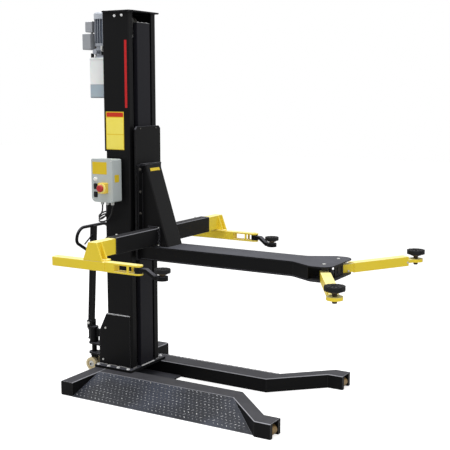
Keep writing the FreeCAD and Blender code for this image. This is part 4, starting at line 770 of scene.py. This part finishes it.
class LIFT_OT_studio(bpy.types.Operator):
    """Camera, softboxes, white surroundings and a pale floor"""
    bl_idname = "lift.studio"
    bl_label = "Studio"

    def execute(self, context):
        studio = context.scene.lift_studio
        camera = added("studio_camera", bpy.data.cameras.new("studio_camera"))
        camera.data.lens, camera.data.sensor_width, camera.data.clip_end = studio.lens, 36.0, 60.0
        camera.location = CAMERA_PLACE
        camera.rotation_euler = [math.radians(angle) for angle in CAMERA_TURN]
        context.scene.camera = camera
        for name, place, target, size, power in SOFTBOXES:
            lamp = bpy.data.lights.new(name, "AREA")
            lamp.shape, lamp.size, lamp.energy = "SQUARE", size, getattr(studio, power)
            obj = added(name, lamp)
            obj.location = place
            obj.rotation_euler = (Vector(target) - Vector(place)).to_track_quat("-Z", "Y").to_euler()
        bpy.ops.mesh.primitive_plane_add(size=40.0, location=(0, 0, -0.0005))
        floor = settle(context.object)
        floor.name = "studio_floor"
        floor.data.materials.append(studio_floor("studio_floor"))
        world = bpy.data.worlds.new("studio_world")
        context.scene.world = world
        world.use_nodes = True
        nodes, links = world.node_tree.nodes, world.node_tree.links
        nodes.clear()
        rays = nodes.new("ShaderNodeLightPath")
        plain, white = nodes.new("ShaderNodeBackground"), nodes.new("ShaderNodeBackground")
        plain.inputs["Strength"].default_value = studio.ambient
        for sky in (plain, white):
            sky.inputs["Color"].default_value = WHITE
        either = rays.outputs["Is Camera Ray"]
        for other in ("Is Glossy Ray", "Is Transmission Ray"):
            most = nodes.new("ShaderNodeMath")
            most.operation = "MAXIMUM"
            links.new(either, most.inputs[0])
            links.new(rays.outputs[other], most.inputs[1])
            either = most.outputs[0]
        mix = nodes.new("ShaderNodeMixShader")
        links.new(either, mix.inputs[0])
        links.new(plain.outputs[0], mix.inputs[1])
        links.new(white.outputs[0], mix.inputs[2])
        out = nodes.new("ShaderNodeOutputWorld")
        links.new(mix.outputs[0], out.inputs["Surface"])
        context.scene.view_settings.view_transform = "Standard"
        return {"FINISHED"}


CABLE_STARTS = ((0.061, -0.225), (0.103, -0.225), (0.145, -0.225))
CABLE_TOP, CABLE_DROP, CABLE_TURN_X, CABLE_LAYER = 1.238, 0.036, 0.031, 0.016
# Each point after the drop: its place from the turn, the start and the top, and how spread the cables are.
CABLE_ROUTE = ((0.048, 0.006, -0.078, 0.8), (0.008, 0.018, -0.102, 0.5), (-0.034, 0.042, -0.110, 0.0),
               (-0.066, 0.082, -0.104, 0.0), (-0.070, 0.124, -0.092, 0.0), (-0.070, 0.150, -0.088, 0.0),
               (-0.056, 0.174, -0.086, 0.0), (-0.032, 0.188, -0.084, 0.0), (0.0, 0.188, -0.084, 0.0))


class LIFT_OT_cables(bpy.types.Operator):
    """The three cables from the control box's glands into the back of the column"""
    bl_idname = "lift.cables"
    bl_label = "Cables"

    def execute(self, context):
        diameter = context.scene.lift_sizes.cable_diameter
        middle_x = CABLE_STARTS[1][0]
        for index, (x, y) in enumerate(CABLE_STARTS):
            layer = -CABLE_LAYER * (index - 1)
            points = [Vector((x, y, CABLE_TOP)), Vector((x, y, CABLE_TOP - CABLE_DROP))]
            for dx, dy, dz, apart in CABLE_ROUTE:
                points.append(Vector((CABLE_TURN_X + dx + apart * (x - middle_x), y + dy,
                                      CABLE_TOP + dz + layer)))
            curve = bpy.data.curves.new(f"control_cable_{index}", "CURVE")
            curve.dimensions = "3D"
            curve.bevel_depth = diameter / 2
            curve.bevel_resolution = 4
            curve.use_fill_caps = True
            curve.resolution_u = 16
            spline = curve.splines.new("NURBS")
            spline.points.add(len(points) - 1)
            for place, point in zip(spline.points, points):
                place.co = (*point, 1.0)
            spline.order_u = 3
            spline.use_endpoint_u = True
            cable = added(f"control_cable_{index}", curve)
            curve.materials.append(finish_for("cable_rubber"))
            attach(cable, "base")
            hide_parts("control_cables")
        return {"FINISHED"}


class LIFT_OT_finishes(bpy.types.Operator):
    """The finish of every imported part"""
    bl_idname = "lift.finishes"
    bl_label = "Finishes"

    def execute(self, context):
        for row in frame["record"]["subparts"]:
            part = NODES[row["node"]]
            part.data.materials.clear()
            finish = SPECIAL_FINISHES.get(row["node"], row["material_slot"])
            part.data.materials.append(finish_for(finish))
        return {"FINISHED"}


RAMP_START_X, RAMP_BEND_X, RAMP_END_X = 0.0475, 1.105, 1.418
RAMP_EDGE_Y, RAMP_TOP_Z, RAMP_RUN, RAMP_SPREAD = 0.283, 0.094, 0.286, 0.302
STUD_REACH = (0.0115, 0.0042)
STUD_START_GAP, STUD_END_GAP, STUD_TOP_GAP, STUD_FOOT_GAP, STUD_ROW_SPREAD = 0.0185, 0.022, 0.016, 0.012, 1.7


class LIFT_OT_tread_studs(bpy.types.Operator):
    """Raised lens studs on the two ramps' tread plates, set alternately left and right"""
    bl_idname = "lift.tread_studs"
    bl_label = "Tread studs"

    def execute(self, context):
        sizes = context.scene.lift_sizes
        pitch, height = sizes.stud_pitch, sizes.stud_height
        slope = math.hypot(RAMP_TOP_Z, RAMP_RUN)
        end_gain = RAMP_RUN * (RAMP_END_X - RAMP_BEND_X) / RAMP_SPREAD
        for side, sign in SIDES:
            lens = dome(10, (*STUD_REACH, height), 0)
            normal = Vector((0, sign * RAMP_TOP_Z, RAMP_RUN)).normalized()
            down = Vector((0, sign * RAMP_RUN, -RAMP_TOP_Z)).normalized()
            ahead = Vector((1, 0, 0))
            facing = Matrix((ahead, normal.cross(ahead), normal)).transposed().to_4x4()
            places = []
            row, v = 0, STUD_TOP_GAP
            while v < slope - STUD_FOOT_GAP:
                end_x = RAMP_BEND_X + (v / slope) * end_gain - STUD_END_GAP
                u = RAMP_START_X + STUD_START_GAP + (pitch / 2 if row % 2 else 0.0)
                while u < end_x:
                    point = Vector((u, sign * RAMP_EDGE_Y, RAMP_TOP_Z)) + down * v
                    angle = math.radians(45 if row % 2 else -45)
                    places.append(Matrix.Translation(point) @ facing @ Matrix.Rotation(angle, 4, "Z"))
                    u += pitch
                v += pitch / 2 * STUD_ROW_SPREAD
                row += 1
            repeated(lens, places, f"{side}_tread_studs", "base", "tread_plate", "stud_metal", 50.0)
        return {"FINISHED"}


BASE_PLATE_Z, SIDE_Y, GUSSET_Y = 0.112, 0.157, 0.163
FOOT_BOLT_XS, FOOT_BOLT_Y = (0.228, 0.144, 0.063, -0.025), 0.1935
GUSSET_BOLTS, TOP_SIDE_BOLTS = ((0.020, 0.372), (-0.005, 0.145)), ((0.134, 2.475), (0.192, 2.477))
BACK_SCREW_X, BACK_SCREW_Y, BACK_SCREW_ZS = 0.031, 0.098, (0.20, 0.62, 1.04, 1.46, 1.88, 2.30, 2.46)


class LIFT_OT_base_bolts(bpy.types.Operator):
    """Foot bolts, gusset bolts, the bolts under the top plate, and the back panel's screws"""
    bl_idname = "lift.base_bolts"
    bl_label = "Base bolts"

    def execute(self, context):
        size = context.scene.lift_sizes.foot_bolt
        foot = [aimed((x, sign * FOOT_BOLT_Y, BASE_PLATE_Z), UP, x * 40)
                for x in FOOT_BOLT_XS for sign in (-1, 1)]
        model = joined([eased(bar(size, 0.0020, (0, 0, 0.0010), sides=28), 0.0004),
                        eased(bar(size * 0.80, 0.0085, (0, 0, 0.00425), sides=6), 0.0008)])
        repeated(model, foot, "foot_bolts", material="highlit_zinc")
        gusset = [aimed((x, sign * GUSSET_Y, z), (0, sign, 0), z * 9)
                  for sign in (-1, 1) for x, z in GUSSET_BOLTS]
        repeated(socket_bolt(0.0085), gusset, "gusset_bolts")
        top = [aimed((x, sign * SIDE_Y, z), (0, sign, 0), z * 7)
               for sign in (-1, 1) for x, z in TOP_SIDE_BOLTS]
        repeated(hex_bolt(0.0085, stud=False), top, "top_side_bolts", material="highlit_zinc")
        back = [aimed((BACK_SCREW_X, sign * BACK_SCREW_Y, z), (-1, 0, 0), z * 5)
                for sign in (-1, 1) for z in BACK_SCREW_ZS]
        repeated(screw_head(0.0065), back, "back_panel_screws")
        return {"FINISHED"}


FOOT_WELD_Y, FOOT_WELD_Z, FOOT_WELD_LENGTH = 0.1645, BASE_PLATE_Z + 0.001, 0.060
FOOT_WELD_XS, FRONT_WELD_X, FRONT_WELD_YS = (-0.034, 0.050, 0.134), 0.2445, (0.118, 0.150)
GUSSET_WELD_XS, GUSSET_WELD_Z = (0.030, 0.218), 0.4735
BEAM_WELD_XS, BEAM_WELD_Y, BEAM_WELD_ZS = (0.348, 0.420), 0.0985, (0.9685, 1.0955)
BAR_WELD_Y = 0.0885


class LIFT_OT_welds(bpy.types.Operator):
    """Weld seams: stitches at the gussets' feet, and beads along the gussets' tops and on the brace and
    crossbeam
    """
    bl_idname = "lift.welds"
    bl_label = "Welds"

    def execute(self, context):
        stitches, seams = [], []
        for _, sign in SIDES:
            for start in FOOT_WELD_XS:
                stitches.append(((start, sign * FOOT_WELD_Y, FOOT_WELD_Z),
                                 (start + FOOT_WELD_LENGTH, sign * FOOT_WELD_Y, FOOT_WELD_Z), (0, sign, 1)))
            stitches.append((*((FRONT_WELD_X, sign * y, FOOT_WELD_Z) for y in FRONT_WELD_YS), (1, 0, 1)))
            seam_y = sign * (SIDE_Y + 0.001)
            seams.append((*((x, seam_y, GUSSET_WELD_Z) for x in GUSSET_WELD_XS), (0, sign, 1)))
        welded("foot_welds", "base", "zinc_steel", stitches, material="weld_metal")
        # The gussets' top seams take the gussets' coat, with painted highlights along them.
        welded("gusset_welds", "base", "black_paint", seams, 0.003, material="gusset_highlight_paint")
        carriage = []
        for _, sign in SIDES:
            bar_y = sign * BAR_WELD_Y
            for z in BEAM_WELD_ZS:
                carriage.append((*((x, sign * BEAM_WELD_Y, z) for x in BEAM_WELD_XS), (0, sign, 0)))
            carriage.append(((0.2925, bar_y, 1.500), (0.318, bar_y, 1.500), (0, sign, 0.4)))
            carriage.append(((0.292, bar_y, 1.000), (0.292, bar_y, 1.440), (0.5, sign, 0)))
        welded("carriage_welds", "carriage", "black_paint", carriage, 0.003)
        return {"FINISHED"}


CHAIN_FOOT_Z, SHEAVE_Z, SHEAVE_X, CHAIN_RADIUS = 0.142, 2.425, 0.1355, 0.0568
CHAIN_PLATES, PIN_LENGTH = ((-0.0100, -0.0034, 0.0034, 0.0100), (-0.0067, 0.0, 0.0067)), 0.0244


def chain_point(run):
    """The place on the chain's path, a length along it from the front anchor."""
    straight, arc = SHEAVE_Z - CHAIN_FOOT_Z, PI * CHAIN_RADIUS
    if run <= straight:
        return Vector((SHEAVE_X + CHAIN_RADIUS, 0, CHAIN_FOOT_Z + run))
    if run <= straight + arc:
        turn = (run - straight) / CHAIN_RADIUS
        out = Vector((math.cos(turn), 0, math.sin(turn)))
        return Vector((SHEAVE_X, 0, SHEAVE_Z)) + out * CHAIN_RADIUS
    return Vector((SHEAVE_X - CHAIN_RADIUS, 0, SHEAVE_Z - (run - straight - arc)))


class LIFT_OT_chain(bpy.types.Operator):
    """The leaf chain from its foot anchors over the sheave, and the nuts of the sheave's axle"""
    bl_idname = "lift.chain"
    bl_label = "Leaf chain"

    def execute(self, context):
        total = 2 * (SHEAVE_Z - CHAIN_FOOT_Z) + PI * CHAIN_RADIUS
        count = round(total / context.scene.lift_sizes.chain_pitch)
        pitch = total / count
        knots = [chain_point(min(index * pitch, total)) for index in range(count + 1)]
        plate = eased(block((-pitch / 2 - 0.0040, -0.0045, -0.0014), (pitch / 2 + 0.0040, 0.0045, 0.0014)),
                      0.0030, upright)
        plates = []
        for index in range(count):
            middle = (knots[index] + knots[index + 1]) / 2
            along = knots[index + 1] - knots[index]
            for y in CHAIN_PLATES[index % 2]:
                plates.append(laid(middle + Vector((0, y, 0)), along, along.cross((0, 1, 0))))
        pins = [aimed(point - Vector((0, PIN_LENGTH / 2, 0)), (0, 1, 0)) for point in knots]
        links = joined(copies(plate, plates))
        rods = joined(copies(bar(0.0030, PIN_LENGTH, (0, 0, PIN_LENGTH / 2), sides=8), pins))
        ends = []
        for x in (SHEAVE_X - CHAIN_RADIUS, SHEAVE_X + CHAIN_RADIUS):
            fork = block((x - 0.0075, -0.013, BASE_PLATE_Z), (x + 0.0075, 0.013, 0.1475))
            ends.append(eased(fork, 0.0025, lambda middle, run: abs(run.y) > 0.9 and middle.z > 0.14))
        chain = fitted(joined([links, rods, *ends]), "leaf_chain", "base", "chain_steel")
        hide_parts("lift_chain")
        repeated(hex_bolt(0.0125), both_ends((SHEAVE_X, 0.033, SHEAVE_Z), 0.2), "sheave_nuts")
        return {"FINISHED"}


LEDGE_TOP_Z, LEDGE_HOLE_YS = 0.1172, (-0.056, -0.019, 0.019, 0.056)


class LIFT_OT_column_trim(bpy.types.Operator):
    """The cover's foot ledge and head screws, and the top plate's screws"""
    bl_idname = "lift.column_trim"
    bl_label = "Column trim"

    def execute(self, context):
        ledge = block((0.2525, -0.0715, BASE_PLATE_Z), (0.2625, 0.0715, LEDGE_TOP_Z))
        ledge = eased(ledge, 0.0018, above(LEDGE_TOP_Z - 0.002))
        holes = [bar(0.0032, 0.004, (0.2578, y, LEDGE_TOP_Z), sides=16) for y in LEDGE_HOLE_YS]
        fitted(drilled(ledge, *holes), "cover_ledge", "base", "zinc_steel", "highlit_zinc")
        head = [aimed((0.246, y, 2.434), UP, y * 9) for y in (-0.055, -0.008, 0.040)]
        repeated(socket_bolt(0.0058, 0.55), head, "cover_head_screws", material="highlit_zinc")
        strip = eased(block((0.2225, -0.071, 2.4338), (0.2515, 0.071, 2.4352)), 0.0005)
        fitted(strip, "cover_head_strip", "base", "zinc_steel")
        lid = [aimed((x, y, 2.508), UP, x * 7) for x in (0.046, 0.148, 0.250) for y in (-0.158, 0.158)]
        repeated(socket_bolt(0.0075, 0.45), lid, "top_plate_screws")
        return {"FINISHED"}


BOX_FACE_Y = -0.277
BUTTON_X, BUTTON_HEIGHTS = 0.048, (1.364, 1.310)
STOP_PLACE, CAP_FOOT_Z = (0.119, -0.309, 1.356), 1.2386
BOX_SCREWS = ((0.024, 1.534), (0.176, 1.534), (0.028, 1.278), (0.176, 1.274))


class LIFT_OT_control_box(bpy.types.Operator):
    """The control box's screws, the frames round its buttons, the stop collar and the gland caps"""
    bl_idname = "lift.control_box"
    bl_label = "Control box"

    def execute(self, context):
        screws = [aimed((x, BOX_FACE_Y, z), (0, -1, 0), x * 60) for x, z in BOX_SCREWS]
        repeated(screw_head(0.0045), screws, "box_screws")
        frames = []
        for z in BUTTON_HEIGHTS:
            bezel = eased(patch(0.030, 0.038, 0.004, 0.006), 0.0008,
                          lambda middle, run: middle.z > 0.0035 and abs(run.z) < 0.5)
            bezel = drilled(bezel, bar(0.0115, 0.02, sides=32))
            frames.append(put(bezel, laid((BUTTON_X, BOX_FACE_Y, z), (1, 0, 0), UP)))
        fitted(joined(frames), "button_frames", "base", "button_plastic")
        collar = eased(bar(0.033, 0.0045, (0, 0, 0.00225), sides=48), 0.0012, above(0.004))
        collar = put(drilled(collar, bar(0.0145, 0.02, sides=32)), aimed(STOP_PLACE, (0, -1, 0)))
        fitted(collar, "stop_collar", "base", "yellow_plastic", "collar_plastic")
        cap = eased(bar(0.0108, 0.0125, (0, 0, 0.00625), sides=32, tip=0.0120), 0.0014, below(0.001))

        def grooved(obj):
            pick(obj, "FACE", lambda middle, normal: abs(normal.z) < 0.3 and middle.z > 0.004
                 and on_rib(middle, 16))
            bpy.ops.mesh.inset(thickness=0.0002, depth=-0.0006, use_individual=True)
        caps = [Matrix.Translation((x, y, CAP_FOOT_Z)) for x, y in CABLE_STARTS]
        repeated(edited(cap, grooved), caps, "gland_caps", "base", "gland_plastic")
        return {"FINISHED"}


def knurled(radius, height, ribs):
    """A knob with grooves round its rim and a dished top, standing on z = 0."""
    knob = bar(radius, height, (0, 0, height / 2), sides=ribs * 2)

    def steps(obj):
        pick(obj, "FACE", lambda middle, normal: abs(normal.z) < 0.3 and on_rib(middle, ribs))
        bpy.ops.mesh.inset(thickness=radius * 0.02, depth=-radius * 0.07, use_individual=True)
        pick(obj, "FACE", topmost)
        stepped(radius, (0.16, 0.05), (0.18, -0.06))
    return edited(knob, steps)


LID_THICKNESS, LID_SCREW_INSET = 0.0035, 0.008


def lid(face_x, low_y, high_y, low_z, high_z):
    """A box lid that faces -X, and the places of its four screws."""
    front_x = face_x - LID_THICKNESS
    plate = eased(block((front_x, low_y, low_z), (face_x + 0.001, high_y, high_z)), 0.004,
                  lambda middle, run: abs(run.x) > 0.9, 3)
    plate = eased(plate, 0.0008, lambda middle, run: middle.x < face_x - 0.003 and abs(run.x) < 0.5)
    corners = [aimed((front_x, y, z), (-1, 0, 0), y * 40)
               for y in (low_y + LID_SCREW_INSET, high_y - LID_SCREW_INSET)
               for z in (low_z + LID_SCREW_INSET, high_z - LID_SCREW_INSET)]
    return plate, corners


OUTLET_X, OUTLET_Z, ELBOW_Y = -0.038, 2.262, -0.0745
CONDUIT_X, CONDUIT_Y = -0.170, -0.010
# Each lid: the box's face, then its edges from low to high in Y and in Z.
BOX_LIDS = ((-0.193, -0.050, 0.038, 2.386, 2.454), (-0.203, -0.070, 0.034, 2.268, 2.372))
FAN_COVER_RADIUS, FAN_SCREW_Z, FAN_SCREW_TURNS = 0.0775, 2.478, (-PI * 0.75, -PI * 0.25, PI * 0.75)


class LIFT_OT_power_unit(bpy.types.Operator):
    """The tank's collar and filler cap, the outlet, and the motor boxes' lids"""
    bl_idname = "lift.power_unit"
    bl_label = "Power unit"

    def execute(self, context):
        collar = eased(block((-0.1480, -0.0865, 2.197), (0.0225, 0.0865, 2.209)), 0.024, upright, 5)
        collar = eased(collar, 0.0025, lambda middle, run: abs(run.z) < 0.5)
        fitted(collar, "tank_collar", "base", "tank_plastic")
        cap = put(knurled(0.0115, 0.029, 12), Matrix.Translation((-0.131, -0.058, 2.2115)))
        fitted(cap, "filler_cap", "base", "button_plastic")
        outlet = [eased(bar(0.0125, 0.012, (OUTLET_X, -0.058, OUTLET_Z), "Y", 6), 0.0008),
                  eased(bar(0.0085, 0.016, (OUTLET_X, -0.071, OUTLET_Z), "Y", 20), 0.001),
                  eased(bar(0.0095, 0.019, (OUTLET_X, ELBOW_Y, 2.2700), "Z", 20), 0.0018),
                  eased(bar(0.0110, 0.009, (OUTLET_X, ELBOW_Y, 2.2835), "Z", 6), 0.0008)]
        fitted(joined(outlet), "outlet_fitting", "base", "zinc_steel")
        bolts = [aimed((x, -0.052, z), (0, -1, 0)) for x in (-0.106, -0.018) for z in (2.231, 2.281)]
        repeated(socket_bolt(0.006), bolts, "pump_block_bolts", slot="blued_steel")
        plates, corners = zip(*(lid(*edges) for edges in BOX_LIDS))
        fitted(joined(plates), "motor_box_lids", "base", "motor_paint")
        repeated(screw_head(0.0032), corners[0] + corners[1], "motor_box_screws")
        tube = bar(0.0055, 0.016, (CONDUIT_X, CONDUIT_Y, 2.379), "Z", 20)
        nut = eased(bar(0.0085, 0.005, (CONDUIT_X, CONDUIT_Y, 2.3765), "Z", 6), 0.0006)
        fitted(joined([tube, nut]), "box_conduit", "base", "button_plastic")
        skirt = []
        for turn in FAN_SCREW_TURNS:
            x, y = math.cos(turn), math.sin(turn)
            place = (MOTOR_AXIS_X + FAN_COVER_RADIUS * x, FAN_COVER_RADIUS * y, FAN_SCREW_Z)
            skirt.append(aimed(place, (x, y, 0)))
        repeated(screw_head(0.0034), skirt, "fan_cover_screws")
        return {"FINISHED"}


WHEEL_HUB, HANDLE_PIVOT = (-0.214, 0.0372, 0.047), (-0.236, 0.0325, 0.345)


class LIFT_OT_trolley(bpy.types.Operator):
    """Nuts and washers of the steering head, its wheels and the tow handle"""
    bl_idname = "lift.trolley"
    bl_label = "Trolley fasteners"

    def execute(self, context):
        hub = joined([eased(bar(0.022, 0.0022, (0, 0, 0.0011), sides=32), 0.0006),
                      eased(bar(0.0125, 0.0085, (0, 0, 0.0065), sides=6), 0.0008)])
        repeated(hub, both_ends(WHEEL_HUB, 0.4), "wheel_nuts", "steering")
        repeated(hex_bolt(0.0095, stud=False), both_ends(HANDLE_PIVOT, 0.3), "handle_nuts", "steering")
        return {"FINISHED"}


CLAMP_BOLT_ZS, FLANGE_BOLT_ZS = (1.474, 1.325, 1.180, 1.030), (1.0902, 0.9738)
ARM_PIVOT, ARM_COURSE, HEAD_TOP_Z, HEAD_FOOT_Z = (1.631, 0.107), (0.493941867, 0.86949493), 0.962, 0.866


class LIFT_OT_carriage_bolts(bpy.types.Operator):
    """Bolts of the clamp bars, carriage plate, crossbeam flanges and arm head"""
    bl_idname = "lift.carriage_bolts"
    bl_label = "Carriage bolts"

    def execute(self, context):
        bars, plate, beam, flange, pivots = [], [], [], [], []
        for _, sign in SIDES:
            bars += [aimed((0.291, sign * 0.1165, z), (1, 0, 0), z * 11) for z in CLAMP_BOLT_ZS]
            plate.append(aimed((0.281, sign * 0.0895, 1.742), (1, 0, 0), 0.5))
            beam.append(aimed((0.356, sign * 0.466, 1.087), UP))
            flange += [aimed((0.4238, sign * 0.097, z), (0, sign, 0), 0.3) for z in FLANGE_BOLT_ZS]
            x, y = ARM_PIVOT
            pivots += [aimed((x, sign * y, HEAD_TOP_Z), UP, sign * 0.4),
                       aimed((x, sign * y, HEAD_FOOT_Z), (0, 0, -1), sign * 0.2)]
        repeated(hex_bolt(0.0095), bars, "clamp_bolts", "carriage", "blued_steel", "chain_steel")
        repeated(socket_bolt(0.0065, 0.6), plate, "plate_bolts", "carriage", "blued_steel", "chain_steel")
        repeated(socket_bolt(0.0075), beam, "beam_bolts", "carriage")
        repeated(socket_bolt(0.0048, 0.6), flange, "flange_bolts", "carriage")
        repeated(socket_bolt(0.0135, 0.24), pivots, "pivot_bolts", "carriage")
        return {"FINISHED"}


def beside_arm(sign, along, across, z):
    """A place beside a front arm: along it from its pivot, and out from its middle."""
    (x, y), (run_x, run_y) = ARM_PIVOT, ARM_COURSE
    return (x + run_x * along + run_y * across, sign * (y + run_y * along - run_x * across), z)


# Each stop bolt: its body, how far along the arm, out and up it is, and its spin.
STOP_BOLTS = (("sleeve", (0.530, 0.031, 0.893), 0.3), ("arm", (0.056, 0.0265, 0.884), 0.2))


class LIFT_OT_arm_bolts(bpy.types.Operator):
    """Stop bolts of the arms and sleeves"""
    bl_idname = "lift.arm_bolts"
    bl_label = "Arm bolts"

    def execute(self, context):
        run_x, run_y = ARM_COURSE
        for side, sign in SIDES:
            for piece, place, spin in STOP_BOLTS:
                bolt = [aimed(beside_arm(sign, *place), (run_y, -sign * run_x, 0), spin)]
                repeated(socket_bolt(0.0080, 0.7), bolt, f"{side}_{piece}_bolt", f"{side}_{piece}")
        return {"FINISHED"}


# Each film: its name, left and right edges, foot and head, thickness, corner radius, slot and finish.
COLUMN_FILMS = (("red_stripe", 0.2090, 0.2280, 1.879, 2.318, 0.0006, 0.0010, "red_plastic", "stripe"),
                ("label_sheet", 0.0500, 0.1970, 1.602, 1.853, 0.0006, 0.0030, "yellow_plastic", "label"),
                ("label_band", 0.0550, 0.1920, 1.819, 1.848, 0.0009, 0.0020, "red_plastic", "label_band"),
                ("label_field_low", 0.0550, 0.1920, 1.607, 1.700, 0.0009, 0.0020, "yellow_plastic",
                 "label_field"),
                ("label_field_high", 0.0550, 0.1920, 1.706, 1.813, 0.0009, 0.0020, "yellow_plastic",
                 "label_field"))
BRACE_TOP, BRACE_FOOT = Vector((0.320, 0.0, 1.504)), Vector((0.493, 0.0, 0.962))
FILM_THICKNESS = 0.0006


class LIFT_OT_vinyl(bpy.types.Operator):
    """The stripe, the bare label on the column, and the bare stickers on the box and the brace"""
    bl_idname = "lift.vinyl"
    bl_label = "Vinyl"

    def execute(self, context):
        for name, left, right, foot, head, thickness, corner, slot, finish in COLUMN_FILMS:
            place = laid(((left + right) / 2, -SIDE_Y, (foot + head) / 2), (1, 0, 0), UP)
            sheet = patch(right - left, head - foot, thickness, corner)
            fitted(put(sheet, place), name, "base", slot, finish)
        lean = (BRACE_FOOT - BRACE_TOP).normalized()
        stickers = (("box_sticker", "base", 0.118, 0.081, 0.004,
                     laid((0.082, BOX_FACE_Y, 1.4855), (1, 0, 0), UP)),
                    ("box_side_sticker", "base", 0.048, 0.050, 0.005,
                     laid((0.185, -0.228, 1.417), (0, 1, 0), UP)),
                    ("brace_sticker", "carriage", 0.108, 0.020, 0.002,
                     laid(BRACE_TOP + lean * 0.036 + Vector((0, 0.003, 0)), (0, 1, 0), -lean)))
        for name, body, width, height, corner, place in stickers:
            sheet = patch(width, height, FILM_THICKNESS, corner)
            fitted(put(sheet, place), name, body, "yellow_plastic", "sticker")
        return {"FINISHED"}


def ribbed_pad(radius, thickness, ribs):
    """A rubber disc: a scalloped rim, radial ribs on top round a low centre. It stands on z = 0."""
    disc = bar(radius, thickness, (0, 0, thickness / 2), sides=ribs * 4)

    def crowned(obj):
        pick(obj, "FACE", topmost)
        stepped(radius, (0.10, 0.0), (0.50, 0.0), (0.06, -thickness * 0.2 / radius), (0.2, 0.0))

    def grooved(obj):
        pick(obj, "FACE", lambda middle, normal: normal.z > 0.9 and on_rib(middle, ribs)
             and radius * 0.42 < far_out(middle) < radius * 0.97)
        bpy.ops.mesh.extrude_region_move(TRANSFORM_OT_translate={"value": (0, 0, -thickness * 0.16)})
        pick(obj, "FACE", lambda middle, normal: abs(normal.z) < 0.3 and middle.z > thickness * 0.2
             and far_out(middle) > radius * 0.96 and on_rib(middle, ribs))
        bpy.ops.transform.resize(value=(0.965, 0.965, 1.0))
    disc = edited(edited(disc, crowned), grooved)
    return eased(disc, thickness * 0.05, lambda middle, run: middle.z > thickness * 0.6 or middle.z < 0.001)


THREAD_START, THREAD_SHORTFALL = 0.003, 0.008


def threaded_screw(radius, length, pitch, cup_radius, cup_height):
    """A round core in a helical ridge, with a hexagon and a round cup on top. It stands on z = 0."""
    core = eased(bar(radius * 0.88, length, (0, 0, length / 2), sides=32), radius * 0.12, below(0.001), 1)
    ridge = coil(radius * 0.87, radius * 0.13, pitch, int((length - THREAD_SHORTFALL) / pitch), 6, 24)
    ridge.matrix_world = Matrix.Translation((0, 0, THREAD_START))
    cup = eased(bar(cup_radius, cup_height, (0, 0, length + cup_height / 2), sides=40), cup_height * 0.18)
    nut = eased(bar(radius * 1.55, cup_height * 0.8, (0, 0, length - cup_height * 0.4), sides=6),
                radius * 0.06)
    return joined([core, ridge, cup, nut])


# Each pad: its end, place, radius, thickness, top, its screw's foot and radius, and its body.
PADS = (("front", (1.9402, 0.6513), 0.059, 0.027, 0.965, 0.868, 0.015, "front_lift_pad"),
        ("rear", (0.8600, 0.6921), 0.049, 0.025, 0.957, 0.883, 0.012, "rear_lift_pad"))
PAD_CUP, PAD_RIBS = 0.008, 12


class LIFT_OT_pads(bpy.types.Operator):
    """The four ribbed rubber pads on their threaded screws"""
    bl_idname = "lift.pads"
    bl_label = "Lift pads"

    def execute(self, context):
        pitch = context.scene.lift_sizes.screw_pitch
        for end, (x, y), radius, thickness, top_z, foot_z, screw_radius, body in PADS:
            for side, sign in SIDES:
                low_z = top_z - thickness
                pad = put(ribbed_pad(radius, thickness, PAD_RIBS), aimed((x, sign * y, low_z), UP, 0.2))
                fitted(pad, f"{side}_{end}_ribbed_pad", f"{side}_{body}", "pad_rubber", angle=40.0)
                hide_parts(f"{side}_{end}_pad")
                screw = threaded_screw(screw_radius, low_z - PAD_CUP - foot_z, pitch, radius * 0.62, PAD_CUP)
                put(screw, Matrix.Translation((x, sign * y, foot_z)))
                fitted(screw, f"{side}_{end}_threaded_screw", f"{side}_{body}", "blued_steel")
                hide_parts(f"{side}_{end}_screw")
        return {"FINISHED"}


class LIFT_PT_panel(bpy.types.Panel):
    """The lift's sizes and the steps that make it"""
    bl_idname = "LIFT_PT_panel"
    bl_label = "Car lift"
    bl_space_type = "VIEW_3D"
    bl_region_type = "UI"
    bl_category = "Car lift"

    def draw(self, context):
        scene = context.scene
        for group in (scene.lift_sizes, scene.lift_colours, scene.lift_studio):
            for name in group.bl_rna.properties.keys():
                if name not in ("rna_type", "name"):
                    self.layout.prop(group, name)
        for operator in OPERATORS:
            self.layout.operator(operator.bl_idname)


GROUPS = {"lift_sizes": LiftSizes, "lift_colours": LiftColours, "lift_studio": LiftStudio}
OPERATORS = (LIFT_OT_studio, LIFT_OT_cables, LIFT_OT_finishes, LIFT_OT_tread_studs, LIFT_OT_base_bolts,
             LIFT_OT_welds, LIFT_OT_chain, LIFT_OT_column_trim, LIFT_OT_control_box, LIFT_OT_power_unit,
             LIFT_OT_trolley, LIFT_OT_carriage_bolts, LIFT_OT_arm_bolts, LIFT_OT_vinyl, LIFT_OT_pads)
CLASSES = (*GROUPS.values(), *OPERATORS, LIFT_PT_panel)


def register():
    for entry in CLASSES:
        bpy.utils.register_class(entry)
    for name, group in GROUPS.items():
        setattr(bpy.types.Scene, name, bpy.props.PointerProperty(type=group))


def unregister():
    for name in GROUPS:
        delattr(bpy.types.Scene, name)
    for entry in reversed(CLASSES):
        bpy.utils.unregister_class(entry)


def main():
    register()
    for operator in OPERATORS:
        area, name = operator.bl_idname.split(".")
        getattr(getattr(bpy.ops, area), name)()


if __name__ == "__main__":
    main()
